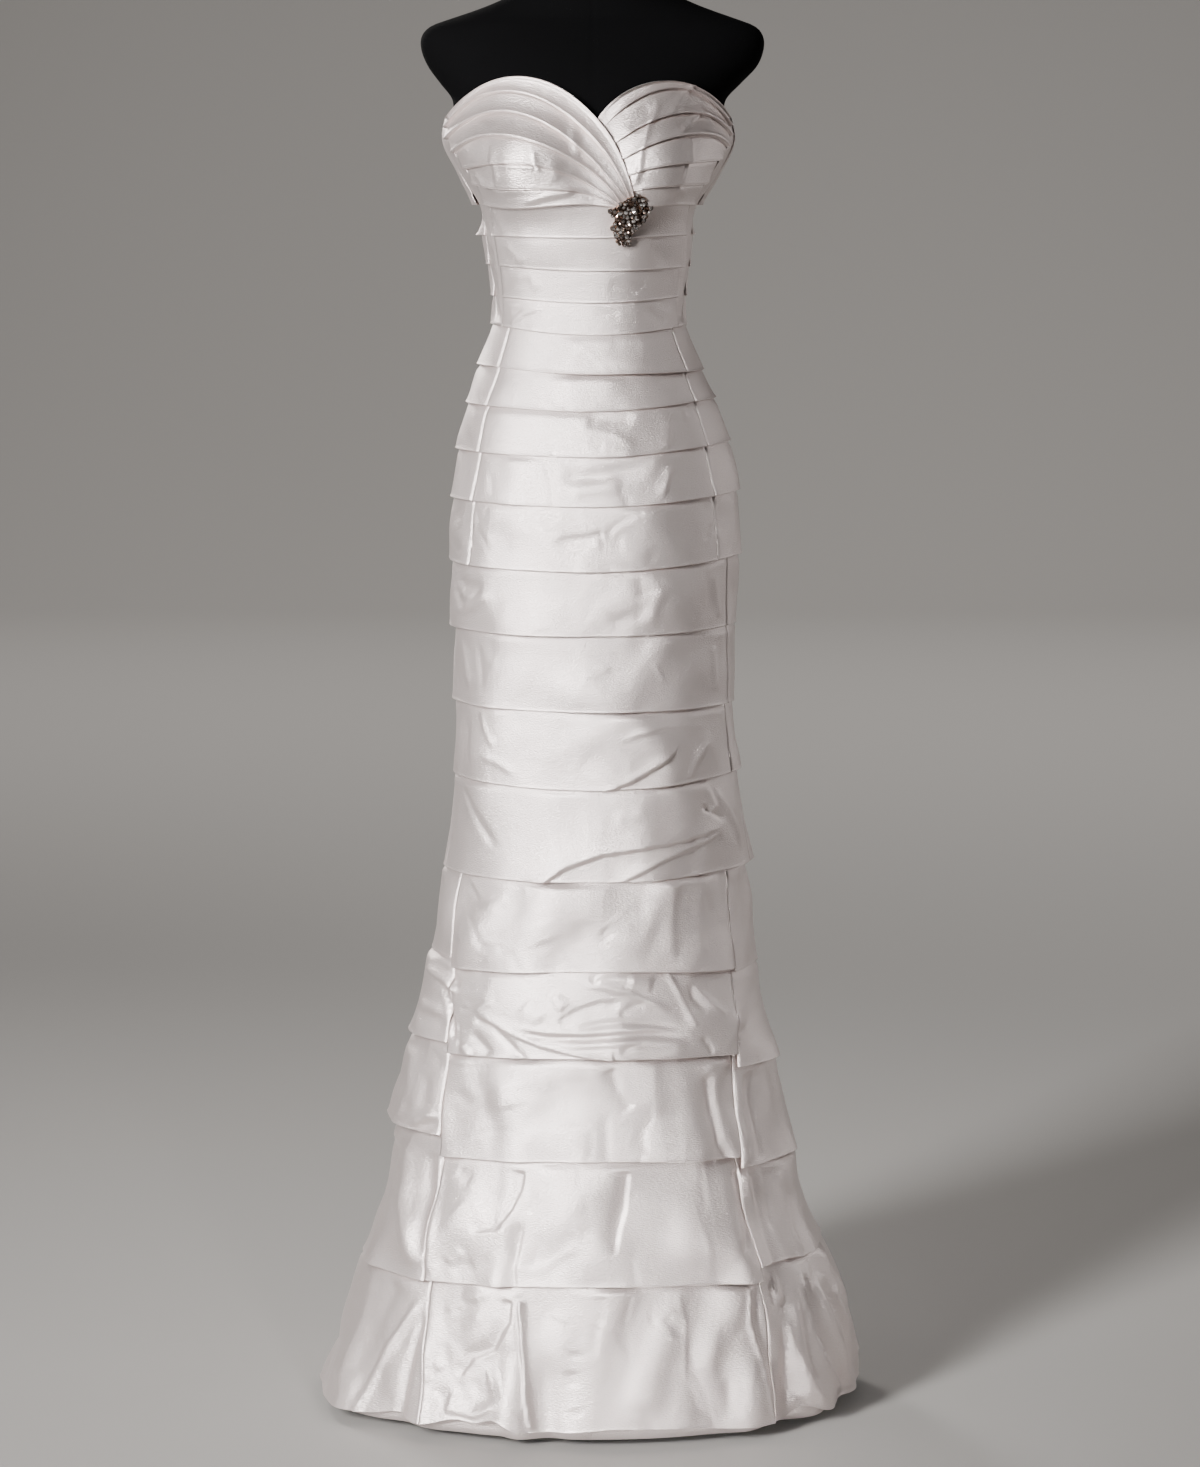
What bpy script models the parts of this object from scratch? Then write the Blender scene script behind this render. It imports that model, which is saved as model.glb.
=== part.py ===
"""Strapless evening gown in satin, worn on a limbless dress form with its stand.

The gown is a sweetheart bodice of two pleated cups above eighteen tiers, which fit the body to the
knee and flare from there to a floor-length hem. Each tier is cut as a front and a back piece, its
top stitched under the tier above. Units are metres, +Z is up, the front faces -Y, and the origin
is the centre of the stand's underside. Angles go round the body in degrees: 0 at the centre
front, positive towards +X, 180 at the centre back. Left and right are as seen from the front, so
left is -X.
"""
import math
from collections import namedtuple
from functools import lru_cache

import bmesh
import bpy
from mathutils import Vector

# ---------------------------------------------------------------- driving dimensions
CLOTH = 0.0013            # satin with the interlining behind it
SEAM_GAP = 0.0003         # clearance between two pieces sewn edge to edge
LAYER_GAP = 0.0005        # clearance between two layers stitched flat
FIRST_GAP = 0.0008        # the same under the first tier, which twists most towards the side seams
FLARE_EASE = 0.0018       # the layers hang further apart as the skirt widens, per metre of radius
CUP_TUCK = 0.006          # how far the first tier runs up under the cups
BODICE_TUCK = 0.008       # how far a bodice tier runs up under the one above
SKIRT_TUCK = 0.013        # the same on the long tiers of the skirt
BACK_RISE = 0.004         # the tiers' edges sit a little higher at the centre back

CUP_EDGE = 1.304          # height of the cups' lower edge
TOP_AT_SIDE = 1.395       # height of the neckline at the side seams
TOP_AT_BACK = 1.345       # and at the centre back
SIDE_SEAM = 84            # angle of the side seams

FRONT_STEP = 6            # spacing of the wall's columns round the front
BACK_STEP = 8             # and round the back
LAST_STIFF_TIER = 16      # the two tiers below this one are divided more finely, for their folds

# The gown's inside, tier by tier smooth: half widths to each side, depths, and the roundness of
# the section (2 is an ellipse, more is squarer).
Section = namedtuple("Section", "height left right front back power")
BODY = (
    Section(0.000, 0.309, 0.281, 0.215, 0.292, 2.0),
    Section(0.050, 0.267, 0.285, 0.2075, 0.280, 2.0),
    Section(0.100, 0.267, 0.275, 0.200, 0.268, 2.0),
    Section(0.180, 0.240, 0.240, 0.188, 0.242, 2.0),
    Section(0.280, 0.210, 0.210, 0.172, 0.215, 2.0),
    Section(0.390, 0.186, 0.186, 0.157, 0.188, 2.0),
    Section(0.500, 0.166, 0.166, 0.144, 0.166, 2.1),
    Section(0.600, 0.152, 0.154, 0.133, 0.150, 2.1),
    Section(0.720, 0.145, 0.148, 0.126, 0.146, 2.2),
    Section(0.820, 0.1445, 0.1465, 0.124, 0.152, 2.2),
    Section(0.920, 0.147, 0.151, 0.124, 0.160, 2.2),
    Section(0.980, 0.146, 0.150, 0.121, 0.158, 2.2),
    Section(1.050, 0.138, 0.141, 0.112, 0.140, 2.1),
    Section(1.100, 0.128, 0.124, 0.102, 0.116, 2.1),
    Section(1.140, 0.113, 0.106, 0.093, 0.098, 2.0),
    Section(1.175, 0.102, 0.094, 0.087, 0.090, 2.0),
    Section(1.210, 0.103, 0.096, 0.088, 0.092, 2.0),
    Section(1.250, 0.110, 0.102, 0.094, 0.098, 2.0),
    Section(1.300, 0.118, 0.108, 0.106, 0.102, 2.0),
    Section(1.335, 0.139, 0.131, 0.113, 0.106, 2.0),
    Section(1.370, 0.158, 0.148, 0.112, 0.108, 2.0),
    Section(1.400, 0.154, 0.144, 0.105, 0.108, 2.0),
    Section(1.440, 0.143, 0.137, 0.098, 0.104, 2.0),
)

Bust = namedtuple("Bust", "angle height out spread rise")
BUSTS = (Bust(-35, 1.345, 0.022, 22, 0.050), Bust(35, 1.345, 0.022, 22, 0.050))

# A tier's free edge: its height at the centre front and at each side, and how far the edge stands
# off the body at the front and on each side, and from there round the back.
Tier = namedtuple("Tier", "number front left right lift left_lift right_lift")
TIERS = (
    Tier(1, 1.2694, 1.2720, 1.2728, 0.0024, 0.0105, 0.0045),
    Tier(2, 1.2350, 1.2410, 1.2389, 0.0024, 0.0045, 0.0030),
    Tier(3, 1.2016, 1.2080, 1.2080, 0.0024, 0.0030, 0.0030),
    Tier(4, 1.1681, 1.1777, 1.1766, 0.0024, 0.0048, 0.0034),
    Tier(5, 1.1276, 1.1355, 1.1291, 0.0035, 0.0045, 0.0045),
    Tier(6, 1.0891, 1.0948, 1.1002, 0.0035, 0.0050, 0.0050),
    Tier(7, 1.0414, 1.0455, 1.0541, 0.0035, 0.0055, 0.0055),
    Tier(8, 0.9896, 0.9942, 1.0014, 0.0035, 0.0055, 0.0055),
    Tier(9, 0.9215, 0.9259, 0.9335, 0.0035, 0.0050, 0.0050),
    Tier(10, 0.8540, 0.8555, 0.8588, 0.0032, 0.0025, 0.0025),
    Tier(11, 0.7738, 0.7767, 0.7750, 0.0032, 0.0025, 0.0025),
    Tier(12, 0.6911, 0.6977, 0.7019, 0.0032, 0.0025, 0.0055),
    Tier(13, 0.5941, 0.5933, 0.5990, 0.0035, 0.0045, 0.0150),
    Tier(14, 0.5002, 0.5028, 0.4885, 0.0050, 0.0065, 0.0050),
    Tier(15, 0.4098, 0.4135, 0.3890, 0.0055, 0.0160, 0.0095),
    Tier(16, 0.3016, 0.3162, 0.2837, 0.0060, 0.0190, 0.0070),
    Tier(17, 0.1715, 0.1640, 0.1795, 0.0060, 0.0045, 0.0070),
    Tier(18, 0.0170, 0.0130, 0.0130, 0.0000, 0.0000, 0.0000),
)
HEM_TIER = len(TIERS)
SEAT_REACH = 0.009         # a tier is sewn under the one above as if that stood off no more than this
HOLD_SPAN = 8              # the bodice tiers' ends lie flat at the side seams over this many degrees
FIRST_GORED_TIER = 14      # from here down the front is a gore, whose lower corners dip
CORNER_DIP = 0.010
UNDERLAYER_TOP = 0.150
UNDERLAYER_EDGE = 0.008
UNDERLAYER_GAP = 0.0014    # it is stitched to the hem tier with this clearance
UNDERLAYER_INSET = 0.009   # the underlayer's edge hangs this far inside the hem tier
LEAN_GAP = 0.0005          # clearance at a seam that leans

# Where a tier's front piece meets its back piece, at the tier's top and at its free edge.
Seam = namedtuple("Seam", "last_tier left_top left_edge right_top right_edge")
SEAMS = (
    Seam(4, -66, -66, 66, 66),
    Seam(9, -60, -60, 60, 60),
    Seam(12, -84, -84, 70, 70),
    Seam(13, -84, -84, 84, 84),
    Seam(14, -67, -63, 66, 62),
    Seam(15, -63, -59, 62, 57),
    Seam(16, -59, -55, 57, 52),
    Seam(17, -55, -52, 52, 51),
    Seam(18, -52, -47, 51, 51),
)

# The largest folds: how far each pushes its tier's free edge out or in, and how far it leans round
# the body on its way down.
Fold = namedtuple("Fold", "tier angle width out lean")
FOLDS = (
    Fold(12, 34, 9, 0.0050, 6),
    Fold(13, -18, 9, 0.0030, 0),
    Fold(13, 28, 10, 0.0060, 6),
    Fold(15, 10, 7, 0.0040, 0),
    Fold(15, 58, 9, 0.0050, 0),
    Fold(16, 33, 6, 0.0050, 4),
    Fold(16, 44, 5, -0.0040, 4),
    Fold(17, -30, 5, 0.0050, -8),
    Fold(17, 46, 5, 0.0080, 0),
    Fold(17, 60, 5, -0.0060, 2),
    Fold(17, 74, 6, 0.0060, 0),
    Fold(17, 118, 8, 0.0070, 0),
    Fold(17, 165, 9, 0.0070, 4),
    Fold(17, 214, 8, 0.0070, -4),
    Fold(18, -72, 6, 0.0060, -4),
    Fold(18, -56, 5, -0.0060, -6),
    Fold(18, -22, 4, 0.0080, 3),
    Fold(18, -13, 4, -0.0060, 2),
    Fold(18, 44, 5, 0.0080, 0),
    Fold(18, 56, 4, -0.0100, 2),
    Fold(18, 66, 5, 0.0080, 3),
    Fold(18, 78, 4, -0.0060, 2),
    Fold(18, 100, 8, 0.0080, 0),
    Fold(18, 122, 8, -0.0080, 0),
    Fold(18, 146, 9, 0.0100, 3),
    Fold(18, 172, 8, -0.0080, 0),
    Fold(18, 196, 9, 0.0090, 0),
    Fold(18, 222, 8, -0.0080, -3),
    Fold(18, 248, 9, 0.0080, 0),
)
HALF_WAY_FOLD = 0.55       # share of a fold's depth that it has half way down its tier

# Where the hem tier's edge rides up and lets the underlayer show.
Wave = namedtuple("Wave", "angle width rise")
HEM_WAVES = (
    Wave(-56, 5, 0.007), Wave(-38, 6, 0.010), Wave(-27, 5, 0.013), Wave(8, 14, 0.005),
    Wave(26, 8, 0.003), Wave(60, 4, 0.010), Wave(110, 8, 0.006), Wave(158, 10, 0.008),
    Wave(208, 9, 0.007), Wave(238, 7, 0.006),
)

# A cup's pleats, neckline first and lower edge last. Each is a smooth curve from the side seam at
# side_height to its own end near the brooch. run and rise give the way it sets off at each end.
Pleat = namedtuple("Pleat", "side_height run rise end_run end_rise end_x end_height")
LEFT_CUP = (
    Pleat(1.3950, 0.073, 0.093, 0.0185, -0.0910, 0.0388, 1.3195),
    Pleat(1.3850, 0.062, 0.088, 0.0231, -0.0704, 0.0346, 1.3153),
    Pleat(1.3730, 0.065, 0.069, 0.0388, -0.0568, 0.0300, 1.3126),
    Pleat(1.3583, 0.038, 0.046, 0.0247, -0.0435, 0.0241, 1.3103),
    Pleat(1.3415, 0.055, 0.013, 0.0444, -0.0382, 0.0210, 1.3076),
    Pleat(1.3258, 0.051, -0.016, 0.0481, -0.0287, 0.0174, 1.3050),
    Pleat(1.3030, 0.042, -0.010, 0.0417, -0.0072, 0.0140, 1.3022),
)
RIGHT_CUP = (
    Pleat(1.3950, -0.035, 0.055, -0.0300, -0.0470, 0.0050, 1.3930),
    Pleat(1.3866, -0.037, 0.066, -0.0280, -0.0440, 0.0090, 1.3800),
    Pleat(1.3770, -0.030, 0.048, -0.0254, -0.0300, 0.0140, 1.3585),
    Pleat(1.3650, -0.017, 0.033, -0.0138, -0.0200, 0.0200, 1.3420),
    Pleat(1.3510, -0.035, -0.004, -0.0309, -0.0173, 0.0240, 1.3290),
    Pleat(1.3258, -0.031, -0.003, -0.0297, -0.0107, 0.0285, 1.3147),
    Pleat(1.3030, -0.028, 0.001, -0.0275, 0.0009, 0.0310, 1.3022),
)
PLEAT_HEIGHT = 0.0018      # a pleat's folded edge stands this far off the pleat below
PLEAT_TURN = 0.06          # share of the next strip that the step takes
PLEAT_STEPS = 18           # divisions along a pleat
PLEAT_FADE_FROM = 0.75     # share of a pleat's length where it starts to flatten towards the brooch
PLEAT_FADE_SPAN = 0.20     # share of its length that the flattening takes
WRAP_PLEAT_LEFT = 0.4      # share of its height that a pleat keeps there on the cup that wraps over
CUP_LIFT = 0.0032          # the cups' lower edge stands off the first tier
CUP_LIFT_FADE = 0.040      # height over which that lift dies out
WRAP_STAND = 0.0024        # the left cup crosses over the right one, so it stands off further
WRAP_FADE = 0.030
WRAP_TOP = (0.0050, 1.3930)     # x and height where the cups cross at the neckline
WRAP_FOOT = (0.0310, 1.3022)    # and at the lower edge
WRAP_MARGIN = 0.004

# Seam between a cup and the plain panel beside it, at the neckline and at the cup's lower edge.
CUP_SEAM_TOP = 80
CUP_SEAM_FOOT = 66
PANEL_LEVELS = (1.275, 1.245, 1.210)     # a side panel's levels below the cup
PANEL_COLUMNS = 3
PANEL_STAND = 0.0005
BACK_STEPS = 3             # divisions of the plain back's height
BACK_LIFT = 0.0060         # its lower edge stands off the first tier at the back

# The brooch, a cluster of stones like a bunch of grapes: its outline about its middle (across, up)
# and the stones in it (place on the plate, radius), all in its own plane.
BROOCH_CENTRE = (0.0378, 1.2964)     # x and height of its middle
BROOCH_OUTLINE = (
    (0.0056, 0.0203), (-0.0061, 0.0125), (-0.0240, -0.0010), (-0.0150, -0.0083), (-0.0159, -0.0205),
    (-0.0088, -0.0274), (-0.0088, -0.0361), (0.0046, -0.0361), (0.0110, -0.0222), (0.0163, -0.0118),
    (0.0226, -0.0014), (0.0221, 0.0065), (0.0154, 0.0099), (0.0091, 0.0177),
)
BROOCH_FOOT = 0.024        # its tilt follows the cloth from this far below its middle
BROOCH_HEAD = 0.014        # to this far above it
BROOCH_PLATE = 0.0022
BROOCH_RINGS = 5
BROOCH_SECTORS = 20
BROOCH_MARGIN = 0.008      # cloth this close to its outline counts as under it
BROOCH_SIGHT = 0.05        # and so does cloth up to this far behind it
STONE_DOME = 0.75          # a stone's height over its radius
Stone = namedtuple("Stone", "across up radius")
STONES = (
    Stone(0.005, 0.013, 0.0055), Stone(-0.006, 0.006, 0.0055), Stone(0.015, 0.003, 0.0060),
    Stone(-0.018, -0.001, 0.0045), Stone(0.004, 0.001, 0.0060), Stone(-0.006, -0.008, 0.0055),
    Stone(0.007, -0.010, 0.0055), Stone(-0.008, -0.019, 0.0050), Stone(0.003, -0.021, 0.0050),
    Stone(-0.002, -0.030, 0.0050),
)

# The dress form: inside the gown it follows the gown's sections, clear of the cloth, and above the
# neckline it has its own.
FORM_STEP_ANGLE = 12
Clearance = namedtuple("Clearance", "height gap")
FORM_CLEARANCE = (
    Clearance(0.84, 0.0060), Clearance(1.02, 0.0045), Clearance(1.11, 0.0015),
    Clearance(1.15, 0.0009), Clearance(1.24, 0.0009), Clearance(1.29, 0.0015),
    Clearance(1.33, 0.0030), Clearance(1.40, 0.0050),
)
FORM_LEVELS = (0.840, 0.900, 0.960, 1.020, 1.070, 1.110, 1.140, 1.158, 1.170, 1.182, 1.194, 1.208,
               1.226, 1.250, 1.275, 1.300, 1.325, 1.350, 1.375, 1.395)
SHOULDERS = (
    Section(1.415, 0.150, 0.142, 0.0925, 0.098, 2.0),
    Section(1.432, 0.163, 0.158, 0.088, 0.096, 2.0),
    Section(1.450, 0.176, 0.175, 0.082, 0.094, 2.1),
    Section(1.468, 0.183, 0.182, 0.075, 0.090, 2.2),
    Section(1.482, 0.182, 0.181, 0.067, 0.084, 2.2),
    Section(1.492, 0.172, 0.172, 0.060, 0.079, 2.2),
    Section(1.500, 0.150, 0.151, 0.054, 0.075, 2.1),
    Section(1.508, 0.126, 0.128, 0.052, 0.071, 2.0),
    Section(1.516, 0.105, 0.107, 0.051, 0.068, 2.0),
    Section(1.526, 0.084, 0.086, 0.050, 0.064, 2.0),
    Section(1.540, 0.066, 0.068, 0.049, 0.060, 2.0),
    Section(1.560, 0.058, 0.060, 0.050, 0.057, 2.0),
    Section(1.590, 0.056, 0.058, 0.051, 0.055, 2.0),
)
CAP_OVERHANG = 0.003
CAP_THICKNESS = 0.012
CAP_KNOB_RADIUS = 0.011
CAP_KNOB_HEIGHT = 0.016

POLE_RADIUS = 0.0140
COLLAR_RADIUS = 0.030
COLLAR_HEIGHT = 0.030
BASE_RADIUS = 0.150
BASE_THICKNESS = 0.010
BASE_EDGE = 0.003
TURNED_SIDES = 48

Finish = namedtuple("Finish", "colour roughness metallic")
FINISHES = {
    "satin": Finish((0.86, 0.83, 0.80), 0.34, 0.0),
    "crystal": Finish((0.80, 0.72, 0.66), 0.12, 0.6),
    "jersey": Finish((0.012, 0.012, 0.013), 0.85, 0.0),
    "lacquer": Finish((0.020, 0.020, 0.021), 0.45, 0.0),
    "steel": Finish((0.030, 0.030, 0.032), 0.38, 0.8),
}


# ---------------------------------------------------------------- the body under the cloth
def smoothstep(value):
    """0 below 0, 1 above 1, and a soft S between."""
    value = min(1.0, max(0.0, value))
    return value * value * (3.0 - 2.0 * value)


def blend_rows(rows, height):
    """Every column of a table at one height, on smooth curves through its rows."""
    last = len(rows) - 1
    if height <= rows[0].height:
        return rows[0][1:]
    if height >= rows[last].height:
        return rows[last][1:]
    index = max(i for i in range(last) if rows[i].height <= height)
    low, high = rows[index], rows[index + 1]
    before, after = rows[max(index - 1, 0)], rows[min(index + 2, last)]
    span = high.height - low.height
    share = (height - low.height) / span
    ease_in = (1 + 2 * share) * (1 - share) ** 2
    lead_in = share * (1 - share) ** 2
    lead_out = share ** 2 * (share - 1)
    values = []
    for column in range(1, len(low)):
        slope_low = (high[column] - before[column]) / (high.height - before.height)
        slope_high = (after[column] - low[column]) / (after.height - low.height)
        values.append(ease_in * low[column] + (1 - ease_in) * high[column]
                      + span * (lead_in * slope_low + lead_out * slope_high))
    return values


def section_radius(section, angle):
    """Distance from the axis to a rounded section's edge, in one direction."""
    left, right, front, back, power = section
    across, along = math.sin(math.radians(angle)), math.cos(math.radians(angle))
    half_width = right if across > 0 else left
    depth = front if along > 0 else back
    return (abs(across / half_width) ** power + abs(along / depth) ** power) ** (-1 / power)


@lru_cache(maxsize=None)
def body_radius(angle, height):
    """Distance from the axis to the inside of the gown."""
    radius = section_radius(blend_rows(BODY, height), angle)
    turn = (angle + 180) % 360 - 180
    for bust in BUSTS:
        apart = ((turn - bust.angle) / bust.spread) ** 2 + ((height - bust.height) / bust.rise) ** 2
        radius += bust.out * math.exp(-apart)
    return radius


def point(angle, radius, height):
    """The place at an angle round the body, a distance from its axis and a height."""
    turn = math.radians(angle)
    return Vector((radius * math.sin(turn), -radius * math.cos(turn), height))


# ---------------------------------------------------------------- solids
def finish_material(name):
    """The material of that name, made the first time it is asked for."""
    material = bpy.data.materials.get(name)
    if material is None:
        look = FINISHES[name]
        material = bpy.data.materials.new(name)
        material.use_nodes = True
        shader = material.node_tree.nodes["Principled BSDF"]
        shader.inputs["Base Color"].default_value = (*look.colour, 1.0)
        shader.inputs["Roughness"].default_value = look.roughness
        shader.inputs["Metallic"].default_value = look.metallic
    return material


def add_object(name, mesh_builder, finish):
    """A named object from a closed bmesh, faces out, shaded smooth but for sharp edges."""
    bmesh.ops.recalc_face_normals(mesh_builder, faces=mesh_builder.faces)
    mesh = bpy.data.meshes.new(name)
    mesh_builder.to_mesh(mesh)
    mesh_builder.free()
    mesh.shade_smooth()
    mesh.set_sharp_from_angle(angle=math.radians(35))
    mesh.materials.append(finish_material(finish))
    thing = bpy.data.objects.new(name, mesh)
    bpy.context.scene.collection.objects.link(thing)
    return thing


def add_wall(name, outer, inner, finish="satin", ring=False):
    """A closed cloth wall between two grids of points, rows from the top down."""
    build = bmesh.new()
    skins = [[[build.verts.new(place) for place in row] for row in grid] for grid in (outer, inner)]
    columns = len(outer[0])
    spans = columns if ring else columns - 1
    for skin in skins:
        for upper, lower in zip(skin, skin[1:]):
            for j in range(spans):
                k = (j + 1) % columns
                build.faces.new((upper[j], upper[k], lower[k], lower[j]))
    for row in (0, -1):
        outside, inside = skins[0][row], skins[1][row]
        for j in range(spans):
            k = (j + 1) % columns
            build.faces.new((outside[j], outside[k], inside[k], inside[j]))
    if not ring:
        for column in (0, -1):
            outside, inside = ([row[column] for row in skin] for skin in skins)
            for i in range(len(outside) - 1):
                build.faces.new((outside[i], outside[i + 1], inside[i + 1], inside[i]))
    return add_object(name, build, finish)


def add_stack(name, rings, finish):
    """A solid body through closed rings of points, capped at both ends."""
    build = bmesh.new()
    loops = [[build.verts.new(place) for place in ring] for ring in rings]
    count = len(loops[0])
    for lower, upper in zip(loops, loops[1:]):
        for j in range(count):
            k = (j + 1) % count
            build.faces.new((lower[j], lower[k], upper[k], upper[j]))
    build.faces.new(loops[0])
    build.faces.new(loops[-1])
    return add_object(name, build, finish)


def add_turned(name, profile, finish):
    """A body turned about the Z axis from (radius, height) points that start and end on the axis."""
    build = bmesh.new()
    line = [build.verts.new((radius, 0.0, height)) for radius, height in profile]
    edges = [build.edges.new(pair) for pair in zip(line, line[1:])]
    bmesh.ops.spin(build, geom=line + edges, cent=(0, 0, 0), axis=(0, 0, 1),
                   angle=math.tau, steps=TURNED_SIDES, use_merge=True)
    bmesh.ops.remove_doubles(build, verts=build.verts, dist=0.00001)
    return add_object(name, build, finish)


# ---------------------------------------------------------------- tiers
def around(angle):
    """Share of the way from the centre front (0) to the side (1), and on at 1 round the back."""
    turn = abs((angle + 180) % 360 - 180)
    return 1.0 if turn > 90 else math.sin(math.radians(turn)) ** 2


def seam_of(number):
    """The row of SEAMS that a tier belongs to."""
    return next(seam for seam in SEAMS if number <= seam.last_tier)


def is_front(number, angle):
    """Whether a direction is on a tier's front piece."""
    seam = seam_of(number)
    turn = (angle + 180) % 360 - 180
    return seam.left_edge <= turn <= seam.right_edge


def side_blend(left, right, angle):
    """The left value on the left, the right value on the right, and a blend across the back."""
    turn = (angle + 180) % 360
    if 90 < turn < 270:
        share = 1.0 if turn > 180 else 0.0
    else:
        share = smoothstep(0.5 - ((turn + 90) % 360 - 90) / 180)
    return left + (right - left) * share


@lru_cache(maxsize=None)
def edge_height(number, angle, front):
    """Height of a tier's free edge. Number 0 is the cups and the plain back above the tiers."""
    if number == 0:
        return CUP_EDGE
    tier = TIERS[number - 1]
    side = side_blend(tier.left, tier.right, angle)
    turn = (angle + 180) % 360 - 180
    if number >= FIRST_GORED_TIER and number < HEM_TIER:
        if front:
            return tier.front - CORNER_DIP * around(turn)
        return side
    height = tier.front + (side - tier.front) * around(angle)
    if abs(turn) > 90:
        height += BACK_RISE * math.cos(math.radians(turn)) ** 2
    if number == HEM_TIER:
        for wave in HEM_WAVES:
            apart = (angle - wave.angle + 180) % 360 - 180
            height += wave.rise * math.exp(-(apart / wave.width) ** 2)
    return height


def top_height(number, angle):
    """Height of a tier's upper edge, hidden under the tier above."""
    if number == 1:
        return CUP_EDGE + CUP_TUCK
    tuck = SKIRT_TUCK if number > FIRST_GORED_TIER else BODICE_TUCK
    return edge_height(number - 1, angle, is_front(number - 1, angle)) + tuck


def fold_out(number, angle, share):
    """How far the folds push a tier out, a share of the way down it."""
    out = 0.0
    for fold in FOLDS:
        if fold.tier == number:
            apart = (angle - fold.angle - fold.lean * (share - 1) + 180) % 360 - 180
            out += fold.out * math.exp(-(apart / fold.width) ** 2)
    return out * (HALF_WAY_FOLD + (1 - HALF_WAY_FOLD) * (2 * share - 1)) if share > 0 else 0.0


def seam_hold(angle):
    """0 at the bodice's side seams, where the tiers' ends are sewn in, and 1 away from them."""
    turn = abs((angle + 180) % 360 - 180)
    return smoothstep(abs(turn - SIDE_SEAM) / HOLD_SPAN)


def edge_lift(number, angle):
    """How far a tier's free edge stands off the body, without its folds."""
    tier = TIERS[number - 1]
    side_lift = side_blend(tier.left_lift, tier.right_lift, angle)
    turn = abs((angle + 180) % 360 - 180)
    lift = tier.lift + (side_lift - tier.lift) * smoothstep((turn - 50) / 36)
    return lift * seam_hold(angle) if number <= SEAMS[0].last_tier else lift


def between(profile, height):
    """A profile's inner radius at a height; the profile runs down from its top."""
    for (high, radius_high), (low, radius_low) in zip(profile, profile[1:]):
        if height >= low:
            share = (high - height) / (high - low)
            return radius_high + (radius_low - radius_high) * share
    return profile[-1][1]


def layer_gap(number, radius):
    """Clearance between a tier and the one below it, more where their seams differ."""
    if number == 1:
        return FIRST_GAP
    if number < HEM_TIER and seam_of(number) is seam_of(number + 1):
        return LAYER_GAP
    return LAYER_GAP + FLARE_EASE * radius


def cover_radius(number, angle, height):
    """Distance from the axis to the inside of a tier at one height, as it hangs of itself."""
    edge = edge_height(number, angle, is_front(number, angle))
    top = top_height(number, angle)
    start = seat_radius(number, angle)
    if number == 1:
        top = CUP_EDGE
        start = body_radius(angle, top)
    share = (top - height) / (top - edge)
    lift = min(edge_lift(number, angle), SEAT_REACH)
    if number > LAST_STIFF_TIER:
        return body_radius(angle, height) + share * lift + fold_out(number, angle, share)
    free = body_radius(angle, edge) + lift + fold_out(number, angle, 1.0)
    return start * (1 - share) + free * share


@lru_cache(maxsize=None)
def seat_radius(number, angle):
    """Distance from the axis to the inside of a tier's top, stitched under the tier above it."""
    top = top_height(number, angle)
    on_body = body_radius(angle, top)
    if number == 1:
        return on_body
    above = number - 1
    reach = 0 if seam_of(above) is seam_of(number) else FRONT_STEP
    cover = min(cover_radius(above, angle + turn, top) for turn in (-reach, 0, reach))
    return max(on_body, cover - CLOTH - layer_gap(above, on_body))


@lru_cache(maxsize=None)
def tier_profile(number, angle, front):
    """A tier's inside in one direction, as (height, radius) pairs from its top to its free edge.

    It starts under the tier above and clears the tier below it by the gap between layers, first
    where that tier's top ends and then at its own free edge.
    """
    top = top_height(number, angle)
    edge = edge_height(number, angle, front)
    start = seat_radius(number, angle)
    end = body_radius(angle, edge) + edge_lift(number, angle) + fold_out(number, angle, 1.0)
    if number == HEM_TIER:
        middle = (top + edge) / 2
        bend = body_radius(angle, middle) + fold_out(number, angle, 0.5)
        return ((top, start), (middle, bend), (edge, end))
    gap = layer_gap(number, start)
    below = tier_profile(number + 1, angle, is_front(number + 1, angle))
    end = max(end, between(below, edge) + CLOTH + gap)
    below_top, clear_top = below[0][0], below[0][1] + CLOTH + gap
    if number == 1:
        middle = body_radius(angle, CUP_EDGE)
        share = (CUP_EDGE - below_top) / (CUP_EDGE - edge)
        return ((top, start), (CUP_EDGE, middle), (edge, max(end, middle + (clear_top - middle) / share)))
    if number <= LAST_STIFF_TIER:
        share = (top - below_top) / (top - edge)
        return ((top, start), (edge, max(end, start + (clear_top - start) / share)))
    share = (top - below_top) / (top - edge)
    bend = body_radius(angle, below_top) + share * edge_lift(number, angle)
    bend += fold_out(number, angle, share)
    return ((top, start), (below_top, max(bend, clear_top)), (edge, end))


def fine_angles(angles):
    """The same directions with one more half way between each two."""
    result = []
    for first, second in zip(angles, angles[1:]):
        result += [first, (first + second) / 2]
    return result + [angles[-1]]


def piece_angles(low, high):
    """Column directions of a piece from one seam to the other, on the columns all tiers share."""
    shared = [step * FRONT_STEP for step in range(-SIDE_SEAM // FRONT_STEP, SIDE_SEAM // FRONT_STEP + 1)]
    back_spans = (360 - 2 * SIDE_SEAM) // BACK_STEP
    shared += [SIDE_SEAM + step * BACK_STEP for step in range(1, back_spans)]
    shared += [SIDE_SEAM + HOLD_SPAN / 2, 360 - SIDE_SEAM - HOLD_SPAN / 2]
    shared += [angle + 360 for angle in shared if angle <= low + 0.1]
    room = FRONT_STEP / 2
    inside = [angle for angle in sorted(shared) if low + room <= angle <= high - room]
    return [low] + inside + [high]


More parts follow.
